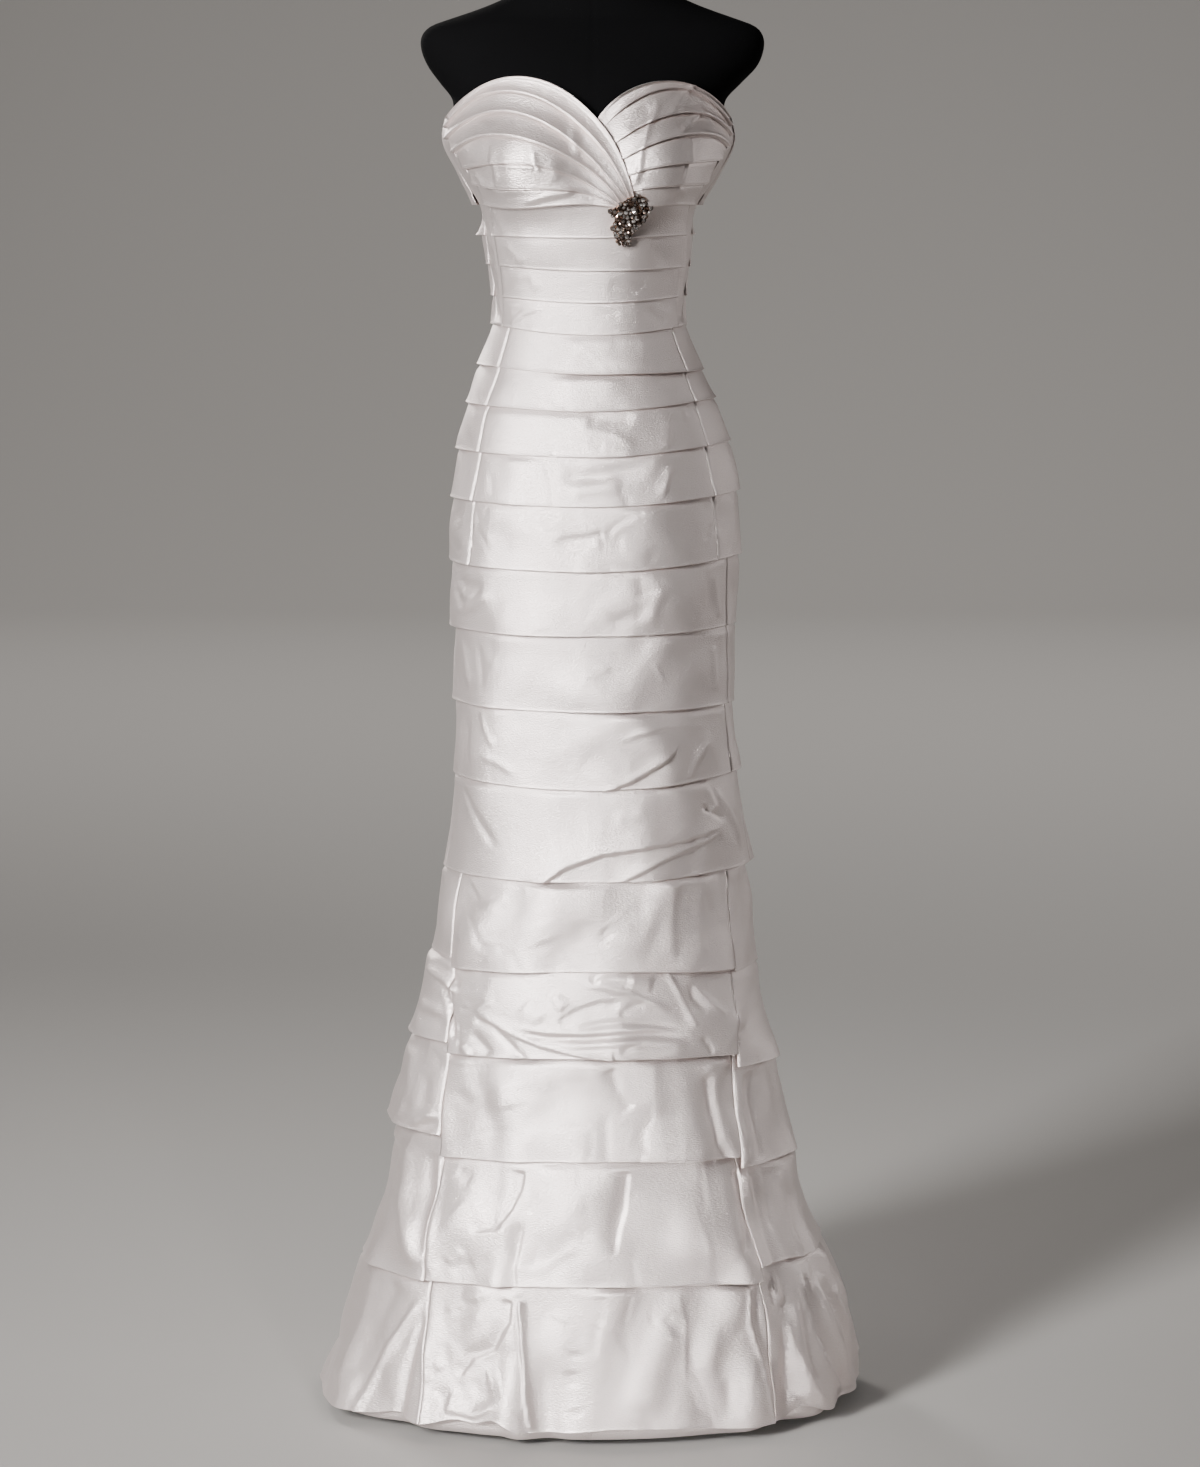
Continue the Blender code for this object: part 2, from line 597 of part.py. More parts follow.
def seam_end(number, front, row, top_angle, edge_angle, clear):
    """Angle of a piece's end in one row, on a seam that leans steadily from tier top to free edge."""
    top = top_height(number, 0)
    edge = edge_height(number, 0, True)
    angle = edge_angle
    for _ in range(4):
        height = tier_profile(number, round(angle, 3), front)[row][0]
        angle = edge_angle + (top_angle - edge_angle) * (height - edge) / (top - edge) + clear
    return round(angle, 3)


def add_tier_piece(name, number, front, top_ends, edge_ends):
    """One piece of a tier, from one seam to the other, just clear of its neighbour there."""
    gap = SEAM_GAP if top_ends == edge_ends else LEAN_GAP
    clear = math.degrees(gap / 2 / body_radius(edge_ends[0], top_height(number, edge_ends[0])))
    angles = piece_angles(max(top_ends[0], edge_ends[0]), min(top_ends[1], edge_ends[1]))
    if number > LAST_STIFF_TIER:
        angles = fine_angles(angles)
    count = len(tier_profile(number, angles[1], front))
    outer, inner = [], []
    for row in range(count):
        places = list(angles)
        places[0] = seam_end(number, front, row, top_ends[0], edge_ends[0], clear)
        places[-1] = seam_end(number, front, row, top_ends[-1], edge_ends[-1], -clear)
        profiles = [tier_profile(number, angle, front)[row] for angle in places]
        inner.append([point(a, r, z) for a, (z, r) in zip(places, profiles)])
        outer.append([point(a, r + CLOTH, z) for a, (z, r) in zip(places, profiles)])
    return add_wall(name, outer, inner)


def add_tiers():
    """Every tier's front piece and back piece, from the cups to the hem."""
    for tier in TIERS:
        seam = seam_of(tier.number)
        name = f"band_{tier.number:02d}"
        add_tier_piece(name + "_front", tier.number, True,
                       (seam.left_top, seam.right_top), (seam.left_edge, seam.right_edge))
        right_top, right_edge = seam.right_top, seam.right_edge
        left_top, left_edge = seam.left_top, seam.left_edge
        if tier.number <= SEAMS[0].last_tier:
            right_top = right_edge = SIDE_SEAM
            left_top = left_edge = -SIDE_SEAM
        add_tier_piece(name + "_back", tier.number, False,
                       (right_top, left_top + 360), (right_edge, left_edge + 360))


def add_underlayer():
    """The ring of plain cloth inside the hem tier, against it above and inside it at its edge."""
    angles = fine_angles(piece_angles(-SIDE_SEAM, 360 - SIDE_SEAM))[:-1]
    outer, inner = [[], [], []], [[], [], []]
    for angle in angles:
        hem = tier_profile(HEM_TIER, angle, is_front(HEM_TIER, angle))
        levels = ((UNDERLAYER_TOP, UNDERLAYER_GAP), (hem[1][0], UNDERLAYER_GAP),
                  (UNDERLAYER_EDGE, UNDERLAYER_INSET))
        for row, (height, inset) in enumerate(levels):
            radius = between(hem, height) - inset
            outer[row].append(point(angle, radius, height))
            inner[row].append(point(angle, radius - CLOTH, height))
    add_wall("hem_underlayer", outer, inner, ring=True)


# ---------------------------------------------------------------- bodice
def cup_seam(height):
    """Angle of the seam beside a cup at one height."""
    share = smoothstep((height - CUP_EDGE) / (TOP_AT_SIDE - CUP_EDGE))
    return CUP_SEAM_FOOT + (CUP_SEAM_TOP - CUP_SEAM_FOOT) * share


def angle_at(across, height):
    """The direction in which the body is a given distance to the side of its axis."""
    limit = cup_seam(height)
    low, high = 0.0, limit
    if body_radius(limit, height) * math.sin(math.radians(limit)) < abs(across) and across > 0:
        return limit
    for _ in range(24):
        middle = (low + high) / 2
        signed = math.copysign(middle, across)
        if body_radius(signed, height) * math.sin(math.radians(middle)) < abs(across):
            low = middle
        else:
            high = middle
    return math.copysign(low, across)


def pleat_line(pleat, side):
    """A pleat's points, as (angle, height), from the side seam (side -1 or 1) to its end."""
    seam_angle = side * cup_seam(pleat.side_height)
    seam_x = body_radius(seam_angle, pleat.side_height) * math.sin(math.radians(seam_angle))
    start = (seam_x, pleat.side_height)
    leave = (start[0] + pleat.run, start[1] + pleat.rise)
    end = (pleat.end_x, pleat.end_height)
    arrive = (end[0] - pleat.end_run, end[1] - pleat.end_rise)
    line = []
    for step in range(PLEAT_STEPS + 1):
        t = step / PLEAT_STEPS
        weights = ((1 - t) ** 3, 3 * (1 - t) ** 2 * t, 3 * (1 - t) * t ** 2, t ** 3)
        x, z = (sum(w * p[i] for w, p in zip(weights, (start, leave, arrive, end))) for i in (0, 1))
        line.append((seam_angle if step == 0 else angle_at(x, z), z))
    return line


def wrap_stand(angle, height):
    """How far the left cup stands off to cross over the right one."""
    share = (WRAP_TOP[1] - height) / (WRAP_TOP[1] - WRAP_FOOT[1])
    hidden_end = WRAP_TOP[0] + (WRAP_FOOT[0] - WRAP_TOP[0]) * min(1.0, max(0.0, share))
    across = body_radius(angle, height) * math.sin(math.radians(angle))
    return WRAP_STAND * smoothstep((across - hidden_end + WRAP_MARGIN + WRAP_FADE) / WRAP_FADE)


def add_cup(name, side, pleats, wraps):
    """A cup whose outer skin steps down at every pleat, over a plain inside."""
    lines = [pleat_line(pleat, side) for pleat in pleats]
    outer, inner = [], []
    for index, line in enumerate(lines):
        steps = [(line, 1.0)]
        if 0 < index < len(lines) - 1:
            lower = lines[index + 1]
            turned = [((1 - PLEAT_TURN) * a + PLEAT_TURN * c, (1 - PLEAT_TURN) * b + PLEAT_TURN * d)
                      for (a, b), (c, d) in zip(line, lower)]
            steps.append((turned, 0.0))
        for places, raised in steps:
            outside, inside = [], []
            for step, (angle, height) in enumerate(places):
                stand = CUP_LIFT * (1 - smoothstep((height - CUP_EDGE) / CUP_LIFT_FADE))
                if wraps:
                    stand += wrap_stand(angle, height)
                flat = smoothstep((step / PLEAT_STEPS - PLEAT_FADE_FROM) / PLEAT_FADE_SPAN)
                fade = 1 - flat * (1 - WRAP_PLEAT_LEFT if wraps else 1.0)
                radius = body_radius(angle, height) + stand
                if index == len(lines) - 1:
                    under = between(tier_profile(1, angle, True), height)
                    radius = max(radius, under + CLOTH + 2 * LAYER_GAP + stand - CUP_LIFT)
                inside.append(point(angle, radius, height))
                outside.append(point(angle, radius + CLOTH + raised * fade * PLEAT_HEIGHT, height))
            outer.append(outside)
            inner.append(inside)
    add_wall(name, outer, inner)


def add_side_panel(name, side, pleats):
    """The plain strip between a cup with the tiers below it and the back."""
    last_tier = SEAMS[0].last_tier
    levels = [pleat.side_height for pleat in pleats] + list(PANEL_LEVELS)
    levels.append(edge_height(last_tier, side * SIDE_SEAM, True))
    outer, inner = [], []
    for height in levels:
        clear = math.degrees(SEAM_GAP / body_radius(side * SIDE_SEAM, height))
        near, far = cup_seam(height) + clear, SIDE_SEAM - clear / 2
        outside, inside = [], []
        for step in range(PANEL_COLUMNS + 1):
            angle = side * (near + (far - near) * step / PANEL_COLUMNS)
            level = edge_height(last_tier, angle, True) if height == levels[-1] else height
            radius = body_radius(angle, level) + PANEL_STAND
            if height == levels[-1]:
                below = tier_profile(last_tier + 1, angle, is_front(last_tier + 1, angle))
                radius = max(radius, between(below, level) + CLOTH + 2 * LAYER_GAP)
            inside.append(point(angle, radius, level))
            outside.append(point(angle, radius + CLOTH, level))
        outer.append(outside)
        inner.append(inside)
    add_wall(name, outer, inner)


def add_back_bodice():
    """The plain upper back, whose lower edge lies over the first tier."""
    angles = piece_angles(SIDE_SEAM, 360 - SIDE_SEAM)
    clear = math.degrees(SEAM_GAP / 2 / body_radius(90, TOP_AT_SIDE))
    angles[0] += clear
    angles[-1] -= clear
    outer, inner = [], []
    for row in range(BACK_STEPS + 1):
        share = row / BACK_STEPS
        outside, inside = [], []
        for angle in angles:
            middle = smoothstep((abs((angle + 180) % 360 - 180) - SIDE_SEAM) / (180 - SIDE_SEAM))
            top = TOP_AT_SIDE + (TOP_AT_BACK - TOP_AT_SIDE) * middle
            height = top + (CUP_EDGE - top) * share
            radius = body_radius(angle, height) + BACK_LIFT * share ** 2 * seam_hold(angle) + PANEL_STAND
            if row == BACK_STEPS:
                under = between(tier_profile(1, angle, False), height)
                radius = max(radius, under + CLOTH + 2 * LAYER_GAP)
            inside.append(point(angle, radius, height))
            outside.append(point(angle, radius + CLOTH, height))
        outer.append(outside)
        inner.append(inside)
    add_wall("back_bodice", outer, inner)


# ---------------------------------------------------------------- brooch
def brooch_reach(turn):
    """Distance from the brooch's middle to its outline, in one direction in its plane."""
    across, up = math.cos(turn), math.sin(turn)
    for (ax, ay), (bx, by) in zip(BROOCH_OUTLINE, BROOCH_OUTLINE[1:] + BROOCH_OUTLINE[:1]):
        before, after = across * ay - up * ax, across * by - up * bx
        if before <= 0 < after:
            share = before / (before - after)
            return math.hypot(ax + (bx - ax) * share, ay + (by - ay) * share)
    return 0.0


def stone_height(across, up):
    """Height of the stones over the plate at a place on it."""
    height = 0.0
    for stone in STONES:
        apart = ((across - stone.across) ** 2 + (up - stone.up) ** 2) / stone.radius ** 2
        if apart < 1:
            height = max(height, stone.radius * STONE_DOME * math.sqrt(1 - apart))
    return height


def add_brooch(cloth):
    """The brooch, its plate just clear of the highest cloth under it."""
    angle = angle_at(*BROOCH_CENTRE)
    low = body_radius(angle, BROOCH_CENTRE[1] - BROOCH_FOOT)
    high = body_radius(angle, BROOCH_CENTRE[1] + BROOCH_HEAD)
    turn = math.radians(angle)
    outward = Vector((math.sin(turn), -math.cos(turn), 0.0))
    up = (Vector((0, 0, BROOCH_FOOT + BROOCH_HEAD)) + outward * (high - low)).normalized()
    across = Vector((math.cos(turn), math.sin(turn), 0.0))
    normal = across.cross(up)
    centre = point(angle, body_radius(angle, BROOCH_CENTRE[1]), BROOCH_CENTRE[1])
    stand = 0.0
    for thing in cloth:
        for vertex in thing.data.vertices:
            offset = vertex.co - centre
            side, rise = offset.dot(across), offset.dot(up)
            beyond = math.hypot(side, rise) - brooch_reach(math.atan2(rise, side))
            if beyond < BROOCH_MARGIN and offset.dot(outward) > -BROOCH_SIGHT:
                stand = max(stand, offset.dot(normal))
    back = centre + normal * (stand + SEAM_GAP)
    build = bmesh.new()
    skins = []
    for raised in (True, False):
        pole = BROOCH_PLATE + stone_height(0, 0) if raised else 0.0
        rings = [[build.verts.new(back + normal * pole)]]
        for ring in range(1, BROOCH_RINGS + 1):
            circle = []
            for sector in range(BROOCH_SECTORS):
                direction = math.tau * sector / BROOCH_SECTORS
                reach = brooch_reach(direction) * ring / BROOCH_RINGS
                x, y = reach * math.cos(direction), reach * math.sin(direction)
                height = 0.0
                if raised:
                    height = BROOCH_PLATE + (stone_height(x, y) if ring < BROOCH_RINGS else 0.0)
                circle.append(build.verts.new(back + across * x + up * y + normal * height))
            rings.append(circle)
        skins.append(rings)
    for rings in skins:
        for j in range(BROOCH_SECTORS):
            k = (j + 1) % BROOCH_SECTORS
            build.faces.new((rings[0][0], rings[1][j], rings[1][k]))
            for inner_ring, outer_ring in zip(rings[1:], rings[2:]):
                build.faces.new((inner_ring[j], outer_ring[j], outer_ring[k], inner_ring[k]))
    for j in range(BROOCH_SECTORS):
        k = (j + 1) % BROOCH_SECTORS
        build.faces.new((skins[0][-1][j], skins[1][-1][j], skins[1][-1][k], skins[0][-1][k]))
    add_object("brooch", build, "crystal")


# ---------------------------------------------------------------- dress form and stand
def form_ring(height, section=None):
    """One level of the dress form: its own section, or the gown's less the clearance."""
    ring = []
    for step in range(360 // FORM_STEP_ANGLE):
        angle = step * FORM_STEP_ANGLE
        if section:
            radius = section_radius(section[1:], angle)
        else:
            radius = body_radius(angle, height) - blend_rows(FORM_CLEARANCE, height)[0]
        ring.append(point(angle, radius, height))
    return ring


def add_dress_form():
    """The limbless torso, its neck cap, and the stand hidden in the skirt."""
    rings = [form_ring(height) for height in FORM_LEVELS]
    rings += [form_ring(section.height, section) for section in SHOULDERS]
    add_stack("form_torso", rings, "jersey")

    neck = SHOULDERS[-1]
    cap = neck.height + SEAM_GAP
    cap_radius = neck.right + CAP_OVERHANG
    cap_top = cap + CAP_THICKNESS
    knob_top = cap_top + CAP_KNOB_HEIGHT
    add_turned("form_neck_cap", (
        (0, cap), (cap_radius - 0.002, cap), (cap_radius, cap + 0.002),
        (cap_radius, cap_top - 0.004), (cap_radius - 0.004, cap_top),
        (CAP_KNOB_RADIUS * 0.6, cap_top + 0.001), (CAP_KNOB_RADIUS, cap_top + 0.006),
        (CAP_KNOB_RADIUS * 0.8, knob_top - 0.002), (0, knob_top)), "lacquer")

    collar_top = BASE_THICKNESS + COLLAR_HEIGHT
    add_turned("stand_base", (
        (0, 0), (BASE_RADIUS - BASE_EDGE, 0), (BASE_RADIUS, BASE_EDGE),
        (BASE_RADIUS, BASE_THICKNESS - BASE_EDGE), (BASE_RADIUS - BASE_EDGE, BASE_THICKNESS),
        (COLLAR_RADIUS, BASE_THICKNESS + 0.003), (COLLAR_RADIUS - 0.008, collar_top), (0, collar_top)),
        "steel")
    pole_foot = collar_top + SEAM_GAP
    pole_top = FORM_LEVELS[0] - SEAM_GAP
    add_turned("stand_pole", ((0, pole_foot), (POLE_RADIUS, pole_foot), (POLE_RADIUS, pole_top),
                              (0, pole_top)), "steel")


# ---------------------------------------------------------------- assembly
def build_gown():
    """Removes what the scene holds and models the gown on its form."""
    for thing in list(bpy.data.objects):
        bpy.data.objects.remove(thing, do_unlink=True)
    add_cup("bodice_cup_left", -1, LEFT_CUP, wraps=True)
    add_cup("bodice_cup_right", 1, RIGHT_CUP, wraps=False)
    add_side_panel("side_panel_left", -1, LEFT_CUP)
    add_side_panel("side_panel_right", 1, RIGHT_CUP)
    add_back_bodice()
    add_tiers()
    add_underlayer()
    under_brooch = ("bodice_cup_right", "bodice_cup_left", "band_01_front", "band_02_front")
    add_brooch([bpy.data.objects[name] for name in under_brooch])
    add_dress_form()


build_gown()
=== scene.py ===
"""Strapless tiered evening gown in duchess satin on its dress form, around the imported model."""
import math
import random
from collections import namedtuple
from functools import lru_cache

import bmesh
import bpy
import numpy as np
from mathutils import Matrix, Vector


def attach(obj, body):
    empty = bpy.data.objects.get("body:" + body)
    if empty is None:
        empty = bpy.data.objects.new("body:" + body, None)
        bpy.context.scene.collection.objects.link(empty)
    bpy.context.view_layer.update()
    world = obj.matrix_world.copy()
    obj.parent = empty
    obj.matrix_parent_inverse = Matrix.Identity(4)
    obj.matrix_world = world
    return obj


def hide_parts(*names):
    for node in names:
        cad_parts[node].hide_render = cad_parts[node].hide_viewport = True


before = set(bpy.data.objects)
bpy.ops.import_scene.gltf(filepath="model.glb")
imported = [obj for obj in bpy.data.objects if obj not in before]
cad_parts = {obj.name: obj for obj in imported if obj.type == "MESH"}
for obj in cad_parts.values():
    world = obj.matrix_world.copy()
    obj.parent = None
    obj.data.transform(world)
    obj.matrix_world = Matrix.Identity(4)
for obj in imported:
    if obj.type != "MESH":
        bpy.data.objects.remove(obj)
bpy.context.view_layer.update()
bpy.ops.object.select_all(action="DESELECT")

# ---------------------------------------------------------------- camera, light and floor
# The camera stands at chest height, 4.6 m in front, and looks a little down. A tall softbox high on
# the left models the satin, a small one on the right is aimed at the hem, weak ones beside and
# behind open the shadows, and the pale floor sweeps up behind under a light of its own.
CAMERA_PLACE = (0.0075, -4.6, 1.309)
CAMERA_PITCH = 7.11
CAMERA_LENS = 104.99
CAMERA_SENSOR = 36.0


def new_object(name, data):
    """A new object in the scene."""
    thing = bpy.data.objects.new(name, data)
    bpy.context.scene.collection.objects.link(thing)
    return thing


def new_material(name):
    """A new material, its nodes, its links and its shader."""
    material = bpy.data.materials.new(name)
    material.use_nodes = True
    tree = material.node_tree
    return material, tree.nodes, tree.links, tree.nodes["Principled BSDF"]


def pick(thing, kind, chosen):
    """Selects the edges or faces of an object that are chosen and leaves it in edit mode."""
    bpy.ops.object.mode_set(mode="EDIT")
    bpy.ops.mesh.select_mode(type=kind)
    bpy.ops.mesh.select_all(action="DESELECT")
    bpy.ops.object.mode_set(mode="OBJECT")
    for part in thing.data.edges if kind == "EDGE" else thing.data.polygons:
        part.select = chosen(part)
    bpy.ops.object.mode_set(mode="EDIT")


camera_data = bpy.data.cameras.new("camera")
camera_data.lens = CAMERA_LENS
camera_data.sensor_width = CAMERA_SENSOR
camera = new_object("camera", camera_data)
camera.location = CAMERA_PLACE
camera.rotation_euler = (math.radians(90 - CAMERA_PITCH), 0, 0)
bpy.context.scene.camera = camera

Softbox = namedtuple("Softbox", "name place aim width height power spread colour")
SOFTBOXES = (
    Softbox("key_light", (-2.45, -3.5, 2.25), (0, 0, 0.8), 0.8, 1.8, 62, 60, (1.0, 0.985, 0.97)),
    Softbox("hem_light", (1, -4.1, 1), (0.14, -0.2, 0.18), 0.4, 0.6, 1.2, 19, (1.0, 0.98, 0.965)),
    Softbox("side_light", (-2.6, 0.3, 1.3), (0.0, 0.0, 0.8), 0.5, 2.0, 3, 90, (1.0, 0.98, 0.97)),
    Softbox("rim_light", (2.5, 1.2, 1.4), (0.0, 0.0, 0.7), 0.3, 1.8, 3, 90, (1.0, 0.97, 0.95)),
    Softbox("sweep_light", (0.0, 4.6, 7.5), (0.0, 8.2, 0.0), 8.0, 1.6, 360, 125, (1.0, 0.97, 0.94)),
    Softbox("back_light", (-1.9, 3.4, 2.6), (0.0, 0.0, 0.7), 0.8, 1.4, 14, 70, (1.0, 0.96, 0.92)),
)
for box in SOFTBOXES:
    lamp = bpy.data.lights.new(box.name, "AREA")
    lamp.shape = "RECTANGLE"
    lamp.size = box.width
    lamp.size_y = box.height
    lamp.energy = box.power
    lamp.spread = math.radians(box.spread)
    lamp.color = box.colour
    holder = new_object(box.name, lamp)
    holder.location = box.place
    sight = Vector(box.aim) - Vector(box.place)
    holder.rotation_euler = sight.to_track_quat("-Z", "Y").to_euler()

world = bpy.data.worlds.new("studio")
bpy.context.scene.world = world
world.use_nodes = True
background = world.node_tree.nodes["Background"]
background.inputs["Color"].default_value = (0.80, 0.77, 0.74, 1)
background.inputs["Strength"].default_value = 0.03

FLOOR_SIZE = 30.0
FLOOR_BEHIND = 9.0
FLOOR_DROP = 0.0005
FLOOR_COLOUR = (0.37, 0.358, 0.346, 1)
FLOOR_ROUGHNESS = 0.7
SWEEP_RADIUS = 3.0
SWEEP_STEPS = 24
WALL_HEIGHT = 8.0
BACK_EDGE_REACH = 0.01

bpy.ops.mesh.primitive_plane_add(
    size=FLOOR_SIZE, location=(0, FLOOR_BEHIND - FLOOR_SIZE / 2, -FLOOR_DROP))
floor = bpy.context.object
floor.name = "floor"
bpy.ops.object.transform_apply(location=True, rotation=True, scale=True)
pick(floor, "EDGE", lambda edge: all(
    floor.data.vertices[number].co.y > FLOOR_BEHIND - BACK_EDGE_REACH for number in edge.vertices))
bpy.ops.mesh.spin(
    steps=SWEEP_STEPS, angle=-math.pi / 2, center=(0, FLOOR_BEHIND, SWEEP_RADIUS), axis=(1, 0, 0))
bpy.ops.mesh.extrude_region_move(TRANSFORM_OT_translate={"value": (0, 0, WALL_HEIGHT)})
bpy.ops.object.mode_set(mode="OBJECT")
floor.data.shade_smooth()
floor_paint, _, _, shader = new_material("floor_paint")
shader.inputs["Base Color"].default_value = FLOOR_COLOUR
shader.inputs["Roughness"].default_value = FLOOR_ROUGHNESS
floor.data.materials.append(floor_paint)


# ---------------------------------------------------------------- stand
# A round steel plate with a collar, and a steel pole that carries the form. Both are powder coated
# in black; the pole is screwed into the collar.
GRAIN_DEPTH = 0.0006
# The colour sockets of a Mix node can be told from its others only by their numbers.
MIX_FIRST, MIX_SECOND, MIX_RESULT = 6, 7, 2


def effect_group(name, inputs, outputs):
    """A new node group with its sockets: the group, its nodes, its links and its two ends."""
    group = bpy.data.node_groups.new(name, "ShaderNodeTree")
    for way, sockets in (("INPUT", inputs), ("OUTPUT", outputs)):
        for socket, kind in sockets.items():
            group.interface.new_socket(socket, in_out=way, socket_type="NodeSocket" + kind)
    nodes = group.nodes
    return group, nodes, group.links, nodes.new("NodeGroupInput"), nodes.new("NodeGroupOutput")


def fine_grain():
    """Node group: a fine even grain, as a height and a soft mask."""
    group, nodes, links, entry, result = effect_group(
        "fine_grain", {"Vector": "Vector", "Scale": "Float"}, {"Height": "Float", "Mask": "Float"})
    fine = nodes.new("ShaderNodeTexNoise")
    fine.inputs["Detail"].default_value = 3
    links.new(entry.outputs["Vector"], fine.inputs["Vector"])
    links.new(entry.outputs["Scale"], fine.inputs["Scale"])
    broad = nodes.new("ShaderNodeTexNoise")
    broad.inputs["Scale"].default_value = 9
    broad.inputs["Detail"].default_value = 4
    links.new(entry.outputs["Vector"], broad.inputs["Vector"])
    links.new(fine.outputs["Fac"], result.inputs["Height"])
    links.new(broad.outputs["Fac"], result.inputs["Mask"])
    return group


FINE_GRAIN = fine_grain()


def plain_finish(name, dark, light, scale, bump, roughness, metallic=0.0, specular=0.5):
    """A material whose colour drifts between two tones over a fine grain."""
    material, nodes, links, shader = new_material(name)
    shader.inputs["Roughness"].default_value = roughness
    shader.inputs["Metallic"].default_value = metallic
    shader.inputs["Specular IOR Level"].default_value = specular
    place = nodes.new("ShaderNodeTexCoord")
    grain = nodes.new("ShaderNodeGroup")
    grain.node_tree = FINE_GRAIN
    grain.inputs["Scale"].default_value = scale
    links.new(place.outputs["Object"], grain.inputs["Vector"])
    tone = nodes.new("ShaderNodeMix")
    tone.data_type = "RGBA"
    tone.inputs[MIX_FIRST].default_value = (*dark, 1)
    tone.inputs[MIX_SECOND].default_value = (*light, 1)
    links.new(grain.outputs["Mask"], tone.inputs["Factor"])
    links.new(tone.outputs[MIX_RESULT], shader.inputs["Base Color"])
    relief = nodes.new("ShaderNodeBump")
    relief.inputs["Strength"].default_value = bump
    relief.inputs["Distance"].default_value = GRAIN_DEPTH
    links.new(grain.outputs["Height"], relief.inputs["Height"])
    links.new(relief.outputs["Normal"], shader.inputs["Normal"])
    return material


def repaint(node, material):
    """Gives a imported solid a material."""
    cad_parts[node].data.materials.clear()
    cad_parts[node].data.materials.append(material)


steel_paint = plain_finish("steel_paint", dark=(0.020, 0.020, 0.021), light=(0.034, 0.034, 0.036),
                           scale=900, bump=0.25, roughness=0.42, metallic=0.2)
repaint("stand_base", steel_paint)
repaint("stand_pole", steel_paint)

# ---------------------------------------------------------------- dress form torso
# The limbless torso is moulded board under a tight cover of black cotton jersey, cut with a seam at
# the centre front, back and sides. Below the neckline it fills the gown.
Section = namedtuple("Section", "height left right front back power")
BODY = (
    Section(0.000, 0.309, 0.281, 0.215, 0.292, 2.0),
    Section(0.050, 0.267, 0.285, 0.2075, 0.280, 2.0),
    Section(0.100, 0.267, 0.275, 0.200, 0.268, 2.0),
    Section(0.180, 0.240, 0.240, 0.188, 0.242, 2.0),
    Section(0.280, 0.210, 0.210, 0.172, 0.215, 2.0),
    Section(0.390, 0.186, 0.186, 0.157, 0.188, 2.0),
    Section(0.500, 0.166, 0.166, 0.144, 0.166, 2.1),
    Section(0.600, 0.152, 0.154, 0.133, 0.150, 2.1),
    Section(0.720, 0.145, 0.148, 0.126, 0.146, 2.2),
    Section(0.820, 0.1445, 0.1465, 0.124, 0.152, 2.2),
    Section(0.920, 0.147, 0.151, 0.124, 0.160, 2.2),
    Section(0.980, 0.146, 0.150, 0.121, 0.158, 2.2),
    Section(1.050, 0.138, 0.141, 0.112, 0.140, 2.1),
    Section(1.100, 0.128, 0.124, 0.102, 0.116, 2.1),
    Section(1.140, 0.113, 0.106, 0.093, 0.098, 2.0),
    Section(1.175, 0.102, 0.094, 0.087, 0.090, 2.0),
    Section(1.210, 0.103, 0.096, 0.088, 0.092, 2.0),
    Section(1.250, 0.110, 0.102, 0.094, 0.098, 2.0),
    Section(1.300, 0.118, 0.108, 0.106, 0.102, 2.0),
    Section(1.335, 0.139, 0.131, 0.113, 0.106, 2.0),
    Section(1.370, 0.158, 0.148, 0.112, 0.108, 2.0),
    Section(1.400, 0.154, 0.144, 0.105, 0.108, 2.0),
    Section(1.440, 0.143, 0.137, 0.098, 0.104, 2.0),
)
Bust = namedtuple("Bust", "angle height out spread rise")
BUSTS = (Bust(-35, 1.345, 0.022, 22, 0.050), Bust(35, 1.345, 0.022, 22, 0.050))
Clearance = namedtuple("Clearance", "height gap")
FORM_CLEARANCE = (
    Clearance(0.84, 0.0060), Clearance(1.02, 0.0045), Clearance(1.11, 0.0018),
    Clearance(1.15, 0.0014), Clearance(1.24, 0.0014), Clearance(1.29, 0.0018),
    Clearance(1.33, 0.0030), Clearance(1.40, 0.0050),
)
SHOULDERS = (
    Section(1.398, 0.149, 0.139, 0.1000, 0.103, 2.0),
    Section(1.415, 0.150, 0.142, 0.0925, 0.098, 2.0),
    Section(1.432, 0.163, 0.158, 0.088, 0.096, 2.0),
    Section(1.450, 0.176, 0.175, 0.082, 0.094, 2.1),
    Section(1.468, 0.183, 0.182, 0.075, 0.090, 2.2),
    Section(1.482, 0.182, 0.181, 0.067, 0.084, 2.2),
    Section(1.492, 0.172, 0.172, 0.060, 0.079, 2.2),
    Section(1.500, 0.150, 0.151, 0.054, 0.075, 2.1),
    Section(1.508, 0.126, 0.128, 0.052, 0.071, 2.0),
    Section(1.516, 0.105, 0.107, 0.051, 0.068, 2.0),
    Section(1.526, 0.084, 0.086, 0.050, 0.064, 2.0),
    Section(1.540, 0.066, 0.068, 0.049, 0.060, 2.0),
    Section(1.560, 0.058, 0.060, 0.050, 0.057, 2.0),
    Section(1.590, 0.056, 0.058, 0.051, 0.055, 2.0),
)
FORM_FOOT = 0.840
FORM_JOIN = 1.395
FORM_STEP = 0.008
CROWN_STEP = 0.003
FORM_SIDES = 120
FORM_SEAMS = (0, 90, 180, 270)
FORM_SEAM_DEPTH = 0.0006
FORM_SEAM_WIDTH = 0.0020


def smoothstep(value):
    """0 up to 0, 1 from 1 on, and a smooth rise between."""
    value = np.clip(value, 0.0, 1.0)
    return value * value * (3.0 - 2.0 * value)


